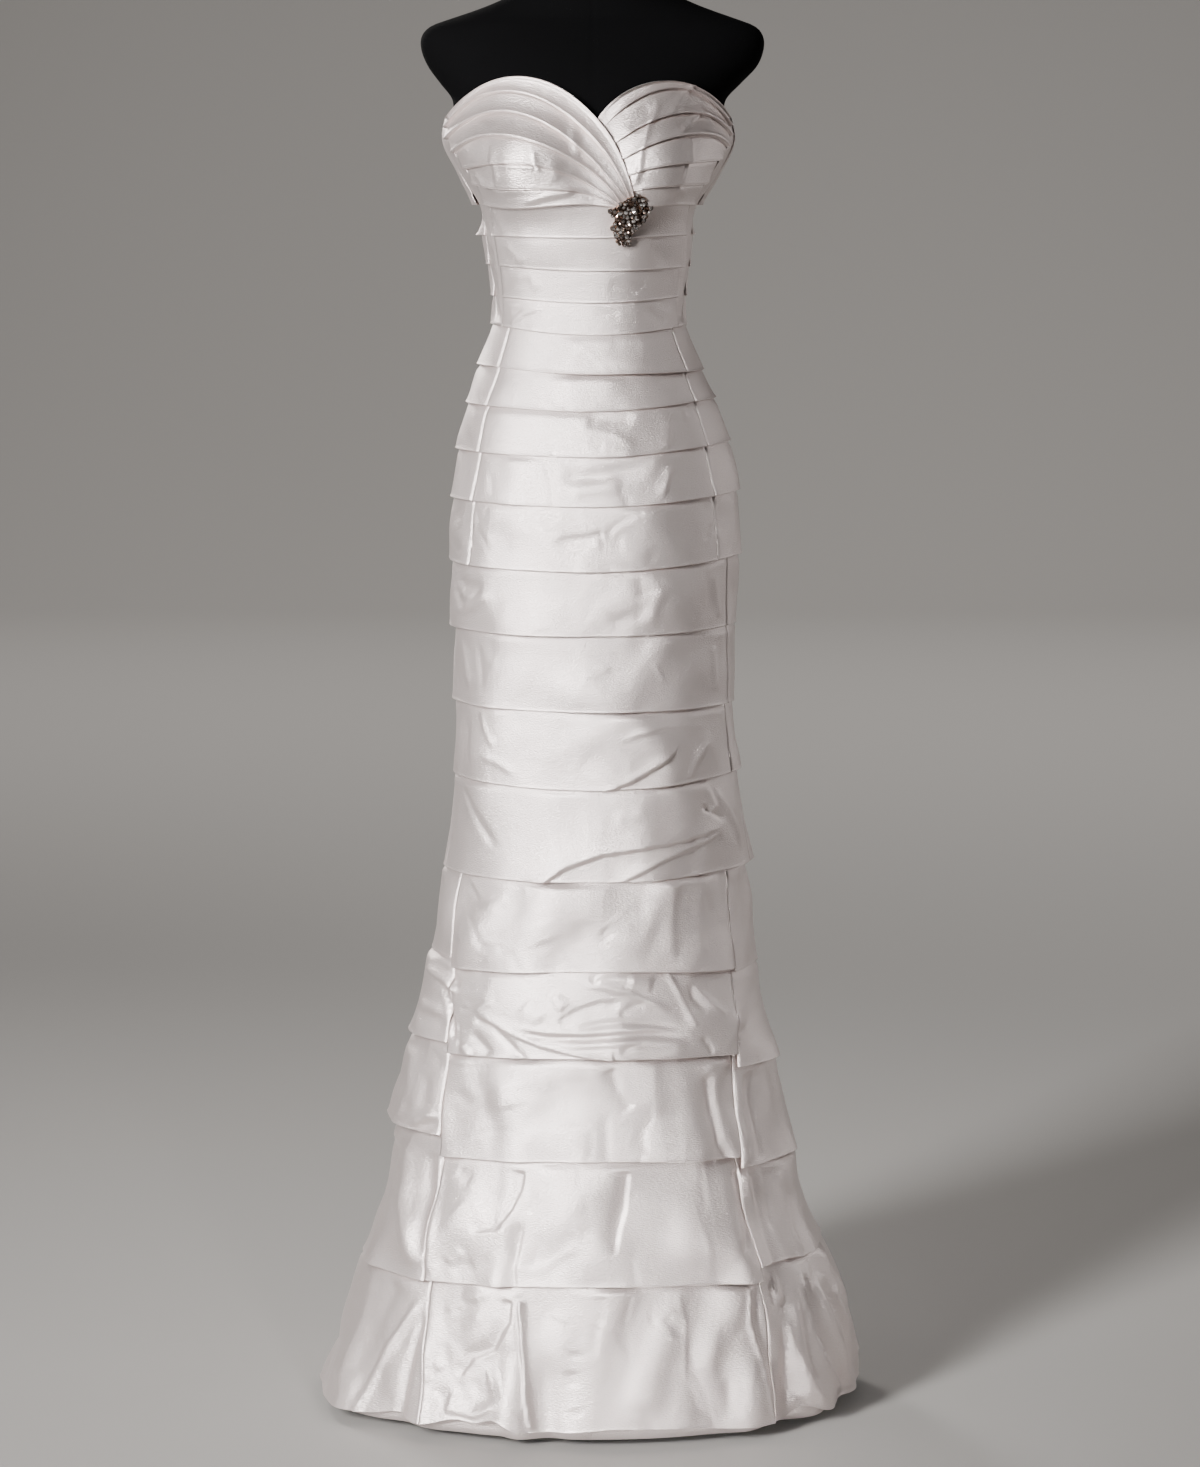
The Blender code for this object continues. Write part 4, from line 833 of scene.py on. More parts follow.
CREASES = {
    1: crease_lines(
        (((-103, 1300), (-92, 1274), (-80, 1262)), 6, 0.8),
    ),
    2: crease_lines(
        (((-94, 1266), (-80, 1250), (-66, 1240)), 6, 0.9),
        (((60, 1262), (78, 1240)), 8, -1),
    ),
    3: crease_lines(
        (((-86, 1221), (-66, 1232), (-55, 1210)), 5, 0.8),
        (((12, 1222), (40, 1216), (62, 1224)), 7, -1),
    ),
    4: crease_lines(
        (((-85, 1178), (-72, 1190), (-50, 1197)), 4.5, 1.3, 0.5, 0.1, 0.3),
        (((0, 1193), (30, 1190)), 5, -0.9),
        (((52, 1196), (75, 1178)), 7, -1.2),
    ),
    5: crease_lines(
        (((18, 1160), (50, 1157)), 6, -0.7),
        (((0, 1143), (60, 1138)), 7, 1),
    ),
    6: crease_lines(
        (((-50, 1098), (-36, 1090), (-28, 1090)), 3.7, 0.9, 1, 0.3, 0.1),
        (((-82, 1118), (-80, 1094)), 5, 0.8),
    ),
    7: crease_lines(
        (((-38, 1088), (-29, 1082)), 3.2, -0.6),
        (((-21, 1081), (-8, 1071), (19, 1066), (46, 1050)), 5.2, 1, 0.6),
        (((-10, 1083), (17, 1080), (46, 1085)), 8, -2.3),
        (((-8, 1075), (4, 1071), (23, 1069)), 4, -0.7),
        (((-4, 1059), (11, 1051)), 4.8, -0.8),
        (((-41, 1043), (-44, 1053), (-47, 1063)), 3.2, -0.6, 0.6, 0, 0.3),
        (((77, 1046), (79, 1083)), 11.5, 1.7, 0.5),
        (((-131, 1079), (-125, 1049)), 4.8, 0.8),
    ),
    8: crease_lines(
        (((-41, 992), (-42, 1013), (-46, 1028), (-51, 1039)), 4.5, -1.1, 0.4, 0, 0.2),
        (((-36, 1018), (-8, 1020), (19, 1023), (46, 1030), (67, 1037)), 10.3, -3, 0.7, 0.15, 0.3),
        (((71, 998), (81, 1034)), 6.9, 2.2, 0.4),
        (((-29, 1008), (4, 1009), (34, 1015)), 9.2, 1.7),
        (((119, 1018), (129, 1006)), 6, -0.8),
        (((-132, 1041), (-125, 1001)), 4.8, 1),
        (((-139, 1035), (-136, 1002)), 4.8, -0.8),
        (((-107, 1026), (-103, 996)), 6, -0.7),
    ),
    9: crease_lines(
        (((52, 987), (34, 977), (23, 970), (13, 961)), 4.8, -0.7, 0.6, 0.15, 0.05),
        (((50, 983), (35, 973), (24, 965), (19, 957)), 5.2, 0.5, 1, 0.2, 0.3),
        (((11, 962), (-8, 957), (-29, 954), (-44, 946)), 7.9, -1.6, 0.5, 0.05, 0.3),
        (((7, 956), (-8, 936), (-15, 925)), 4.6, 0.3, 1, 0.1, 0.1),
        (((4, 952), (34, 954)), 9.2, -1),
        (((-50, 985), (-38, 981), (-25, 982), (-4, 977), (23, 978)), 6.9, -0.5),
        (((-81, 985), (-81, 974)), 4, -0.5),
        (((-108, 987), (-113, 977)), 4.5, -1, 1, 0.1, 0.3),
        (((-130, 988), (-131, 969), (-130, 952), (-125, 939)), 4.7, -1.4, 0.7, 0, 0.15),
        (((-125, 984), (-123, 970), (-110, 954), (-101, 930)), 6, 1.1, 0.6, 0.1, 0.1),
        (((-122, 970), (-107, 946), (-101, 931)), 4.8, -1.2, 1, 0.1, 0.1),
        (((-146, 958), (-134, 947), (-125, 937)), 4.8, 1.2, 1, 0.1, 0.2),
        (((-141, 980), (-146, 966)), 4.8, -1.1),
        (((123, 970), (121, 962), (116, 950)), 4.8, -1.1),
        (((126, 959), (135, 951), (132, 939)), 6, 1.1),
        (((140, 940), (144, 930)), 4.5, 1.6, 1, 0.3, 0),
        (((57, 944), (63, 931)), 6, -0.6),
    ),
    10: crease_lines(
        (((72, 910), (61, 887), (58, 862)), 7, 1.6),
        (((-142, 872), (-124, 883), (-106, 898)), 8, 2.1),
        (((-142, 900), (-132, 872)), 6, -1.1),
        (((15, 868), (55, 878)), 8, -1.1),
        (((126, 915), (134, 868)), 6, 1.1, 1, 0.1, 0.1),
        (((-141, 910), (-130, 901), (-112, 898)), 8, -2.1),
        (((-137, 896), (-125, 889)), 8, 1.8),
        (((46, 917), (52, 893)), 8, -1.4),
        (((76, 918), (79, 892)), 10.3, 1.4),
    ),
    11: crease_lines(
        (((61, 826), (74, 802)), 3.7, 0.8, 0.5),
        (((-138, 845), (-130, 790)), 7, 1.7),
        (((-122, 845), (-112, 785)), 6, -0.9),
        (((20, 822), (-14, 808)), 6, 0.7),
        (((124, 840), (128, 790)), 6, 1.4, 1, 0.1, 0.1),
    ),
    12: crease_lines(
        (((24, 741), (47, 750), (75, 757), (122, 753)), 5, 1.8, 0.35, 0.3, 0.4),
        (((118, 740), (106, 716), (101, 700)), 5, 1.8, 1, 0.2, 0.1),
        (((-118, 774), (-113, 752), (-100, 730)), 4.5, 1.4, 0.6),
        (((-117, 723), (-101, 719), (-78, 705)), 4.5, 1.3),
        (((-132, 765), (-128, 705)), 6, -1.1),
    ),
    13: crease_lines(
        (((-139, 690), (-118, 650), (-100, 622)), 6, -1.8),
        (((110, 670), (138, 650)), 4.5, -3, 0.6),
        (((116, 692), (126, 668), (120, 655)), 5, 2.3),
        (((126, 690), (150, 640), (158, 612)), 7, 3.4),
        (((20, 660), (60, 668)), 8, 1.1),
    ),
    14: crease_lines(
        (((-143, 565), (-117, 564), (-88, 580)), 5.1, -0.8, 0.6),
        (((-129, 591), (-124, 579), (-117, 569)), 5.4, 0.8, 0.6, 0.1, 0.2),
        (((-131, 584), (-119, 568)), 5.4, -0.8),
        (((-113, 561), (-87, 575)), 8, 0.7),
        (((-134, 556), (-123, 541), (-118, 527), (-110, 515)), 7.2, -1, 0.6),
        (((-137, 547), (-139, 521)), 8, 0.7),
        (((-115, 524), (-100, 528), (-86, 529)), 5.4, 0.9, 0.5),
        (((-116, 528), (-104, 531), (-87, 532)), 3.9, -0.7),
        (((-87, 521), (-80, 511), (-75, 499)), 5.4, -0.6, 1, 0.2, 0),
        (((-113, 505), (-95, 524)), 5.4, 0.5),
        (((-9, 554), (-12, 533), (-19, 526)), 7.2, -0.6),
        (((9, 582), (24, 594)), 3.9, 0.4),
        (((48, 578), (51, 561), (49, 546), (36, 546)), 8, -0.6),
        (((9, 545), (17, 533)), 6.9, -1.2),
        (((60, 510), (72, 520), (84, 530)), 4.3, 0.4),
        (((84, 508), (82, 551), (85, 594)), 11.5, 1.6, 0.5, 0.1, 0.1),
        (((116, 578), (120, 563), (126, 550)), 7.2, -1, 0.6),
        (((102, 567), (107, 551)), 7.2, -0.8),
        (((109, 541), (115, 511)), 6.9, 1.5),
        (((142, 594), (151, 580), (157, 565)), 5.4, 0.8, 1, 0.1, 0.3),
        (((133, 542), (149, 558)), 8, 0.6),
        (((-61, 552), (-49, 527)), 16.1, 1.2),
    ),
    15: crease_lines(
        (((-125, 444), (-104, 437), (-88, 423), (-71, 407)), 4.1, -2.4, 1, 0.1, 0),
        (((-74, 434), (-44, 431), (-4, 431), (30, 434), (64, 433), (100, 426)),
         3.1, -1.8, 1, 0.1, 0.2),
        (((-92, 442), (-49, 436), (-4, 436), (30, 439), (64, 438), (98, 432)),
         4.3, 2, 0.6, 0.2, 0.3),
        (((-49, 425), (-17, 423), (19, 425), (55, 427), (98, 422)), 4.8, 2.2, 0.6, 0.2, 0.3),
        (((-17, 441), (30, 448), (64, 443), (94, 435)), 3.4, -1.6, 0.6),
        (((29, 468), (10, 468), (-15, 461), (-37, 447)), 9.2, -1.7, 0.22, 0.1, 0.1),
        (((54, 466), (41, 465), (26, 454)), 6.9, -1.2, 0.3, 0.1, 0.2),
        (((-17, 487), (10, 485), (35, 479), (59, 466), (87, 451)), 4.8, 2.1, 0.8),
        (((12, 490), (37, 483), (62, 470)), 3.6, -1.1),
        (((-4, 489), (11, 499)), 3.6, -2, 1, 0.3, 0),
        (((5, 488), (12, 497)), 3.4, 1.5, 1, 0.2, 0),
        (((-47, 475), (-36, 454)), 2.6, -0.8),
        (((-42, 477), (-28, 460)), 6.9, 2.3),
        (((-77, 495), (-63, 482)), 3.2, -0.9, 1, 0, 0.3),
        (((107, 436), (94, 467), (78, 498)), 4.8, 2, 0.45, 0.1, 0.1),
        (((102, 484), (106, 466), (119, 450)), 4.8, -1.8),
        (((106, 482), (120, 463), (141, 443)), 4.8, 1.7),
        (((112, 428), (127, 406)), 4.2, -2.1),
        (((144, 446), (169, 419)), 6, 1.6),
        (((152, 424), (166, 429)), 4.8, -2.2),
        (((26, 414), (41, 421), (56, 424)), 3.6, -1.8, 0.5),
        (((32, 421), (64, 418), (100, 418)), 6.9, 2.3),
        (((-129, 429), (-114, 415), (-106, 405)), 6.9, -2.7),
        (((-139, 416), (-129, 403)), 6.9, 3.1),
        (((-126, 451), (-101, 465)), 3.4, 1.5),
        (((-134, 456), (-111, 462)), 4.8, -0.8),
        (((-139, 451), (-128, 452)), 2.1, -1),
        (((-141, 442), (-142, 403)), 2.6, -1),
        (((-72, 467), (-53, 445)), 11.5, 1.8),
        (((35, 493), (64, 485)), 10.3, 2.2),
        (((-173, 486), (-155, 478), (-143, 464)), 6, 4.6, 0.7, 0.1, 0.2),
        (((-166, 493), (-148, 484), (-139, 473)), 5, -2.2, 1, 0.1, 0.2),
        (((-159, 475), (-152, 451), (-148, 416)), 5, -4.1, 0.7, 0.15, 0.1),
        (((-187, 442), (-174, 444), (-159, 444)), 7, 3.5, 0.6),
        (((-190, 435), (-174, 435), (-155, 430)), 8, -2.4),
    ),
    16: crease_lines(
        (((-143, 394), (-124, 397), (-106, 398)), 3.4, 0.4, 1, 0, 0.3),
        (((-145, 389), (-103, 395)), 3.4, -0.4, 1, 0, 0.2),
        (((-137, 376), (-117, 360)), 8, 0.6),
        (((-143, 366), (-129, 349)), 8, -0.7),
        (((-114, 375), (-107, 362)), 7.2, -0.4),
        (((-138, 317), (-106, 327), (-75, 333)), 4.3, -0.4, 0.5),
        (((-136, 322), (-119, 328)), 8, 0.4),
        (((-40, 337), (-17, 338), (1, 340)), 3.4, -0.4),
        (((-31, 312), (-30, 329)), 5.1, -0.4, 0.5),
        (((-6, 298), (-0, 319), (-3, 336)), 5.4, -0.6, 0.5, 0, 0.2),
        (((-9, 377), (-8, 395)), 3.2, -0.2),
        (((42, 356), (30, 374), (19, 400)), 10.3, -2.7, 0.35, 0.1, 0.1),
        (((58, 307), (53, 320), (54, 334), (62, 344), (58, 362)), 7.2, -1, 0.4, 0.1, 0.15),
        (((48, 296), (52, 309)), 5.4, -0.6, 0.6, 0, 0.2),
        (((15, 297), (14, 355)), 8, -1.1, 0.5),
        (((76, 297), (84, 323)), 4.3, -0.3),
        (((116, 339), (105, 336)), 7.2, -0.3),
        (((140, 295), (129, 313), (124, 347), (118, 388)), 8, -3.4, 0.8, 0, 0.1),
        (((159, 293), (158, 341), (156, 381)), 6.9, 3.2, 0.5, 0, 0.1),
        (((165, 295), (163, 340), (162, 375)), 7.2, -1, 1, 0.1, 0.1),
        (((166, 374), (174, 337), (180, 301)), 6.3, 0.9, 0.6),
        (((-94, 382), (-85, 352)), 16.1, 1.2),
        (((-63, 376), (-67, 308)), 13.8, 1),
        (((-193, 319), (-176, 330), (-161, 340)), 6, 3.5, 0.6),
        (((-191, 314), (-172, 314), (-158, 315)), 6, 2.4),
        (((-193, 314), (-176, 323), (-160, 333)), 6, -2.4),
        (((-189, 399), (-195, 359), (-205, 323)), 14, 3.2, 1, 0.1, 0.1),
        (((-173, 403), (-165, 393), (-154, 389)), 6, -1.9),
        (((-173, 376), (-178, 338)), 12, -2.4),
        (((165, 379), (171, 333), (177, 287)), 9, -3.5, 1, 0.05, 0.05),
    ),
    17: crease_lines(
        (((-127, 223), (-100, 229), (-85, 251), (-76, 271), (-73, 290)),
         11.5, -2.5, 0.2, 0.1, 0.05),
        (((-72, 241), (-53, 264), (-44, 282)), 7.2, -0.9, 0.3, 0.25, 0.2),
        (((-81, 164), (-84, 185), (-78, 213), (-73, 238)), 12.6, -2.7, 0.25, 0.1, 0.2),
        (((-151, 178), (-124, 190)), 6.9, -1.4),
        (((-155, 185), (-135, 203)), 8, 1.6),
        (((-65, 184), (-57, 208), (-53, 228)), 6.5, -0.6, 0.4),
        (((-14, 275), (-13, 292)), 3.9, -0.4, 1, 0.3, 0),
        (((-18, 240), (-10, 248), (-3, 262)), 5.4, -0.5),
        (((-10, 222), (-8, 232)), 3.4, -0.3),
        (((21, 202), (26, 229), (33, 252), (36, 292)), 12.6, -3.2, 0.2, 0.2, 0.05),
        (((38, 248), (44, 273)), 7.2, -0.5, 0.6),
        (((49, 177), (42, 187), (41, 201)), 5.4, -0.6, 0.6, 0.1, 0.3),
        (((41, 169), (47, 180)), 5.4, -0.5),
        (((43, 201), (55, 219), (48, 229)), 7.2, -0.3),
        (((82, 224), (76, 241)), 3.2, -0.3),
        (((112, 235), (116, 258), (111, 282)), 6.5, -0.6, 0.5),
        (((-144, 282), (-127, 273)), 8, -1.4),
        (((-32, 211), (-22, 229)), 5.4, -0.3),
        (((-120, 265), (-107, 215)), 13.8, 1.4),
        (((93, 279), (95, 184)), 16.1, 1.2),
        (((159, 277), (172, 238), (184, 181)), 6.9, 4.4, 0.9, 0.05, 0),
        (((149, 283), (158, 241), (162, 190)), 6.9, -3.2, 1, 0.05, 0.2),
        (((182, 254), (192, 211)), 6.9, -2.9),
        (((-209, 295), (-221, 250), (-229, 196)), 16, -3.8, 1, 0.1, 0.2),
        (((-193, 297), (-198, 245), (-186, 175)), 16, 4.3, 1, 0.1, 0.1),
        (((-172, 296), (-175, 236), (-181, 188)), 12, -3.5, 1, 0.1, 0.1),
        (((-162, 298), (-164, 239), (-171, 168)), 8, 2.7, 1, 0.1, 0.1),
        (((167, 279), (176, 225), (188, 166)), 10, -4.5, 1, 0.05, 0.05),
        (((191, 272), (207, 220), (223, 169)), 9, 4, 0.8, 0.1, 0.05),
    ),
    18: crease_lines(
        (((-140, 150), (-105, 158)), 7.5, 0.9, 0.5),
        (((-140, 120), (-112, 135)), 8, 0.7, 0.5),
        (((-142, 60), (-150, 36), (-122, 32), (-91, 50)), 6.9, 2.6, 0.6),
        (((-128, 70), (-118, 55), (-100, 50)), 8, -1.2),
        (((-176, 150), (-215, 88), (-252, 18)), 6.9, 5, 0.6, 0.2, 0),
        (((-174, 135), (-196, 60), (-204, 16)), 6.5, -4.2, 0.8, 0.2, 0),
        (((-172, 110), (-178, 18)), 5.7, 3, 0.7, 0.3, 0),
        (((-77, 156), (-76, 142), (-74, 117), (-72, 84), (-70, 50), (-66, 25)),
         4.9, 4.4, 0.3, 0.05, 0),
        (((-72, 133), (-70, 95), (-69, 59)), 5.4, -0.9, 1, 0.2, 0.2),
        (((-143, 67), (-127, 91), (-104, 103), (-88, 132), (-86, 156)), 10.3, -3.2, 0.3, 0.1, 0.05),
        (((-81, 105), (-102, 92), (-119, 82)), 8, -1.2),
        (((-157, 135), (-134, 145)), 5.4, 0.8, 0.6),
        (((-151, 134), (-116, 148)), 5.4, -0.8),
        (((-159, 117), (-121, 133)), 3.9, -0.6),
        (((-160, 104), (-152, 75), (-143, 62), (-127, 30)), 8, -0.9, 0.7, 0.1, 0.1),
        (((-169, 54), (-160, 47), (-150, 33)), 7.2, -1, 0.5),
        (((-167, 51), (-148, 50)), 5.4, -0.8),
        (((-92, 67), (-85, 55), (-78, 38)), 4.3, -0.4, 1, 0.1, 0.1),
        (((3, 94), (3, 119), (10, 140), (10, 161)), 8, -1, 0.35, 0.2, 0.02),
        (((32, 129), (36, 143), (39, 160)), 6.2, -0.9, 0.4, 0.2, 0.02),
        (((38, 84), (38, 122)), 3.4, -0.5),
        (((37, 102), (27, 118)), 3.9, -0.4),
        (((-47, 141), (-24, 133)), 5.4, 0.7, 0.35),
        (((-75, 128), (-64, 157)), 5.4, -0.5),
        (((-20, 94), (-18, 104)), 6.9, -1),
        (((-21, 64), (-23, 84)), 6.9, -1.2),
        (((66, 125), (59, 142)), 3.4, -0.4),
        (((-20, 44), (-17, 34)), 8, -0.9),
        (((-158, 74), (-167, 83)), 6.9, 1.6),
        (((-64, 42), (-61, 28)), 8, 0.6),
        (((-174, 72), (-171, 59)), 7.2, 0.8),
        (((-112, 69), (-95, 74)), 10.3, 1.6),
        (((66, 125), (58, 145)), 3.4, -0.4),
        (((83, 115), (87, 124), (74, 140)), 6.9, -1.4),
        (((98, 63), (97, 96), (97, 130), (89, 160)), 4.6, 0.7, 0.5, 0.2, 0.05),
        (((128, 20), (113, 64), (100, 107)), 5.1, -0.6, 0.5, 0, 0.1),
        (((119, 23), (105, 69), (106, 129)), 10.3, -1.6),
        (((135, 31), (122, 85), (127, 132)), 11.5, 1.6),
        (((151, 21), (155, 43), (157, 70)), 5.4, -0.7, 0.5, 0, 0.3),
        (((157, 56), (159, 20)), 7.2, 0.7),
        (((142, 72), (146, 23)), 6.9, -1.4),
        (((190, 12), (183, 42), (175, 87), (162, 131), (159, 164)), 4.1, 2.8, 0.3, 0, 0),
        (((169, 154), (171, 130), (185, 76), (193, 13)), 8, -3, 1, 0, 0),
        (((191, 155), (199, 116), (209, 84), (235, 41), (250, 19)), 8, 5.2, 0.8, 0, 0.1),
        (((210, 145), (219, 103), (236, 61)), 8, -1.1),
        (((220, 151), (232, 108), (251, 59), (266, 21)), 6.2, 4.8, 0.5, 0, 0),
        (((225, 149), (238, 104), (255, 63), (270, 21)), 6.9, -5.3, 1, 0, 0),
        (((237, 141), (250, 106), (260, 76), (275, 25)), 6.9, 5, 0.8, 0, 0),
        (((247, 136), (264, 93), (279, 34)), 6.9, -3.8, 1, 0, 0.1),
        (((258, 128), (274, 84), (286, 38)), 6.9, 3.4, 0.8, 0, 0.1),
        (((200, 49), (215, 38), (228, 24)), 4.4, -3.4, 0.4, 0.1, 0),
        (((215, 38), (200, 15)), 10.3, 3, 1, 0.2, 0),
        (((-205, 157), (-231, 103), (-262, 41)), 18, -3.4, 1, 0.1, 0.2),
        (((-232, 152), (-248, 101), (-273, 32)), 14, 2.6, 1, 0.1, 0.1),
        (((197, 141), (201, 92), (206, 32)), 9, -6, 1, 0.05, 0.1),
        (((213, 137), (219, 88), (228, 27)), 10, 4.5, 0.8, 0.1, 0.1),
    ),
}
# Where the cloth of a band has slid over itself: a slope that rises to a line and drops sharply.
Tuck = namedtuple("Tuck", "tier path reach height fade_in fade_out")
TUCKS = (
    Tuck(12, ((0.018, 0.692), (0.036, 0.698), (0.055, 0.709), (0.071, 0.719), (0.082, 0.729),
              (0.091, 0.741)), 0.042, 0.0052, 0.0, 0.35),
    Tuck(13, ((-0.055, 0.590), (-0.029, 0.609), (0.008, 0.623), (0.060, 0.631), (0.092, 0.635),
              (0.137, 0.644)), 0.042, 0.0052, 0.0, 0.12),
    Tuck(13, ((0.038, 0.598), (0.071, 0.615), (0.098, 0.625), (0.120, 0.633), (0.137, 0.641)),
         0.018, 0.0036, 0.0, 0.2),
    Tuck(15, ((-0.123, 0.451), (-0.085, 0.433), (-0.054, 0.422), (-0.016, 0.413), (0.022, 0.409)),
         0.014, 0.0034, 0.1, 0.02),
)
TUCK_DROP = 0.0011
# Soft rumples all over a band: swells of many directions, and thin ridges that wander and die out.
Rumple = namedtuple("Rumple", "last_tier swell ridge")
RUMPLES = (
    Rumple(4, 0.00060, 0.00022), Rumple(9, 0.00155, 0.00045), Rumple(13, 0.00210, 0.00050),
    Rumple(18, 0.00300, 0.00075),
)
CUP_RUMPLE = Rumple(0, 0.00065, 0.00030)
SWELL_WAVES = 14
SWELL_LENGTHS = (0.035, 0.140)
SWELL_BIAS = 0.8
SWELL_SOFTNESS = 3
RIDGE_WAVES = 6
RIDGE_LENGTHS = (0.060, 0.150)
RIDGE_SHARPNESS = 0.30
RIDGE_REACH = (0.080, 0.220)
RIDGE_SHOWN = 0.1
RIDGE_TURN = 3
WAVE_POWER = 4
CELL = 0.0023
GORE_CELL = 0.0040
BACK_CELL = 0.0055
END_SLOPE = 0.013
END_RISE = 0.008
EDGE_ROWS = (0.0, 0.0006, 0.0014, 0.0026)
EDGE_ROLL = 0.0005
EDGE_ROLL_HEIGHT = 0.0016
PANEL_STAND = 0.0005
SEAM_ROLL_WIDTH = 0.0035
FRONT_SEAM_LIFT = -0.0003
BACK_SEAM_SINK = -0.0004
CREASE_START = 0.010
COVER_REACH = 0.001
STITCH_REACH = 0.002
LEAST_GAP = 0.0002
BAND_DENT = 0.0006
BAND_GIRTH = 0.2
LEAST_ROWS = 8
LEAST_COLUMNS = 12
LEAST_FACING = 0.34
SEAM_RADIUS = 0.15
SEAM_PASSES = 4
BEND_LIMITS = (0.05, 0.95)
BACK_FROM = 96
BACK_SPAN = 12
BACK_CREASE = 0.8
FAR_OFF = 1e9


def beside(path, across, height, facing):
    """For each place: its distance from a line, its side of the line, and how far along it lies."""
    path = np.array(path)
    steps = np.diff(path, axis=0)
    lengths = np.linalg.norm(steps, axis=1)
    total = lengths.sum()
    nearest = np.full(across.shape, FAR_OFF)
    side = np.zeros_like(across)
    along = np.zeros_like(across)
    walked = 0.0
    for start, step, length in zip(path, steps, lengths):
        dx, dz = across - start[0], height - start[1]
        share = np.clip((dx * step[0] + dz * step[1]) / length ** 2, 0, 1)
        off_x, off_z = (dx - share * step[0]) / facing, dz - share * step[1]
        apart = np.hypot(off_x, off_z)
        closer = apart < nearest
        nearest = np.where(closer, apart, nearest)
        side = np.where(closer, step[0] * dz - step[1] * dx, side)
        along = np.where(closer, (walked + share * length) / total, along)
        walked += length
    return nearest, side, along


def faded(size, along, fade_in, fade_out):
    """A size that rises from nothing at one end of a line and falls to nothing at the other."""
    if fade_in:
        size = size * smoothstep(along / fade_in)
    if fade_out:
        size = size * smoothstep((1 - along) / fade_out)
    return size


def crease_push(creases, across, height, facing):
    """How far a set of creases pushes the cloth out at each place."""
    push = np.zeros_like(across)
    for crease in creases:
        apart, side, along = beside(crease.path, across, height, facing)
        width = np.where(side > 0, crease.width, crease.width * crease.sharp)
        ridge = crease.height * np.exp(-(apart / width) ** 2)
        push += faded(ridge, along, crease.fade_in, crease.fade_out)
    return push


def tuck_push(tucks, across, height, facing):
    """How far a set of tucks pushes the cloth out at each place."""
    push = np.zeros_like(across)
    for tuck in tucks:
        apart, side, along = beside(tuck.path, across, height, facing)
        slope = np.clip(1 - apart / tuck.reach, 0, 1) ** 2
        drop = np.exp(-(apart / TUCK_DROP) ** 2)
        step = tuck.height * np.where(side > 0, slope, drop)
        push = np.maximum(push, faded(step, along, tuck.fade_in, tuck.fade_out))
    return push


def waves(chance, count, lengths, places):
    """A wandering field of about unit size, summed from waves of random direction and length."""
    field = np.zeros(places.shape[:-1])
    for _ in range(count):
        length = chance.uniform(*lengths)
        lean, turn = math.asin(chance.uniform(-1, 1)), chance.uniform(0, math.tau)
        way = math.cos(lean) * math.cos(turn), math.cos(lean) * math.sin(turn), math.sin(lean)
        phase = math.tau * (places @ np.array(way)) / length + chance.uniform(0, math.tau)
        field += length / lengths[1] * np.sin(phase)
    return field * math.sqrt(WAVE_POWER / count)


def rumple_push(seed, rumple, places):
    """The small rumples of one band or cup."""
    chance = random.Random(seed)
    swell = waves(chance, SWELL_WAVES, SWELL_LENGTHS, places)
    swell = np.log1p(np.exp(SWELL_SOFTNESS * (swell + SWELL_BIAS))) / SWELL_SOFTNESS
    line = waves(chance, RIDGE_WAVES, RIDGE_LENGTHS, places)
    shown = smoothstep(waves(chance, RIDGE_WAVES, RIDGE_REACH, places) + RIDGE_SHOWN)
    rise = np.tanh(RIDGE_TURN * waves(chance, RIDGE_WAVES, RIDGE_REACH, places))
    ridge = rumple.ridge * np.exp(-(line / RIDGE_SHARPNESS) ** 2)
    return rumple.swell * swell + ridge * shown * rise


def cloth_piece(node, angle, radius, height, girth, raised=0.0, slant=0.0):
    """A sheet at places round the body, its outside raised, in place of its CAD node."""
    inner = placed(angle, radius, height)
    outer = placed(angle, radius + CLOTH + raised, height)
    uv = np.stack([np.radians(angle) * girth, height + slant], axis=-1)
    if angle[0, 0] > angle[0, -1]:
        inner, outer, uv = inner[:, ::-1], outer[:, ::-1], uv[:, ::-1]
    hang(cloth_object(node + "_satin", outer, inner, uv), outer, node)


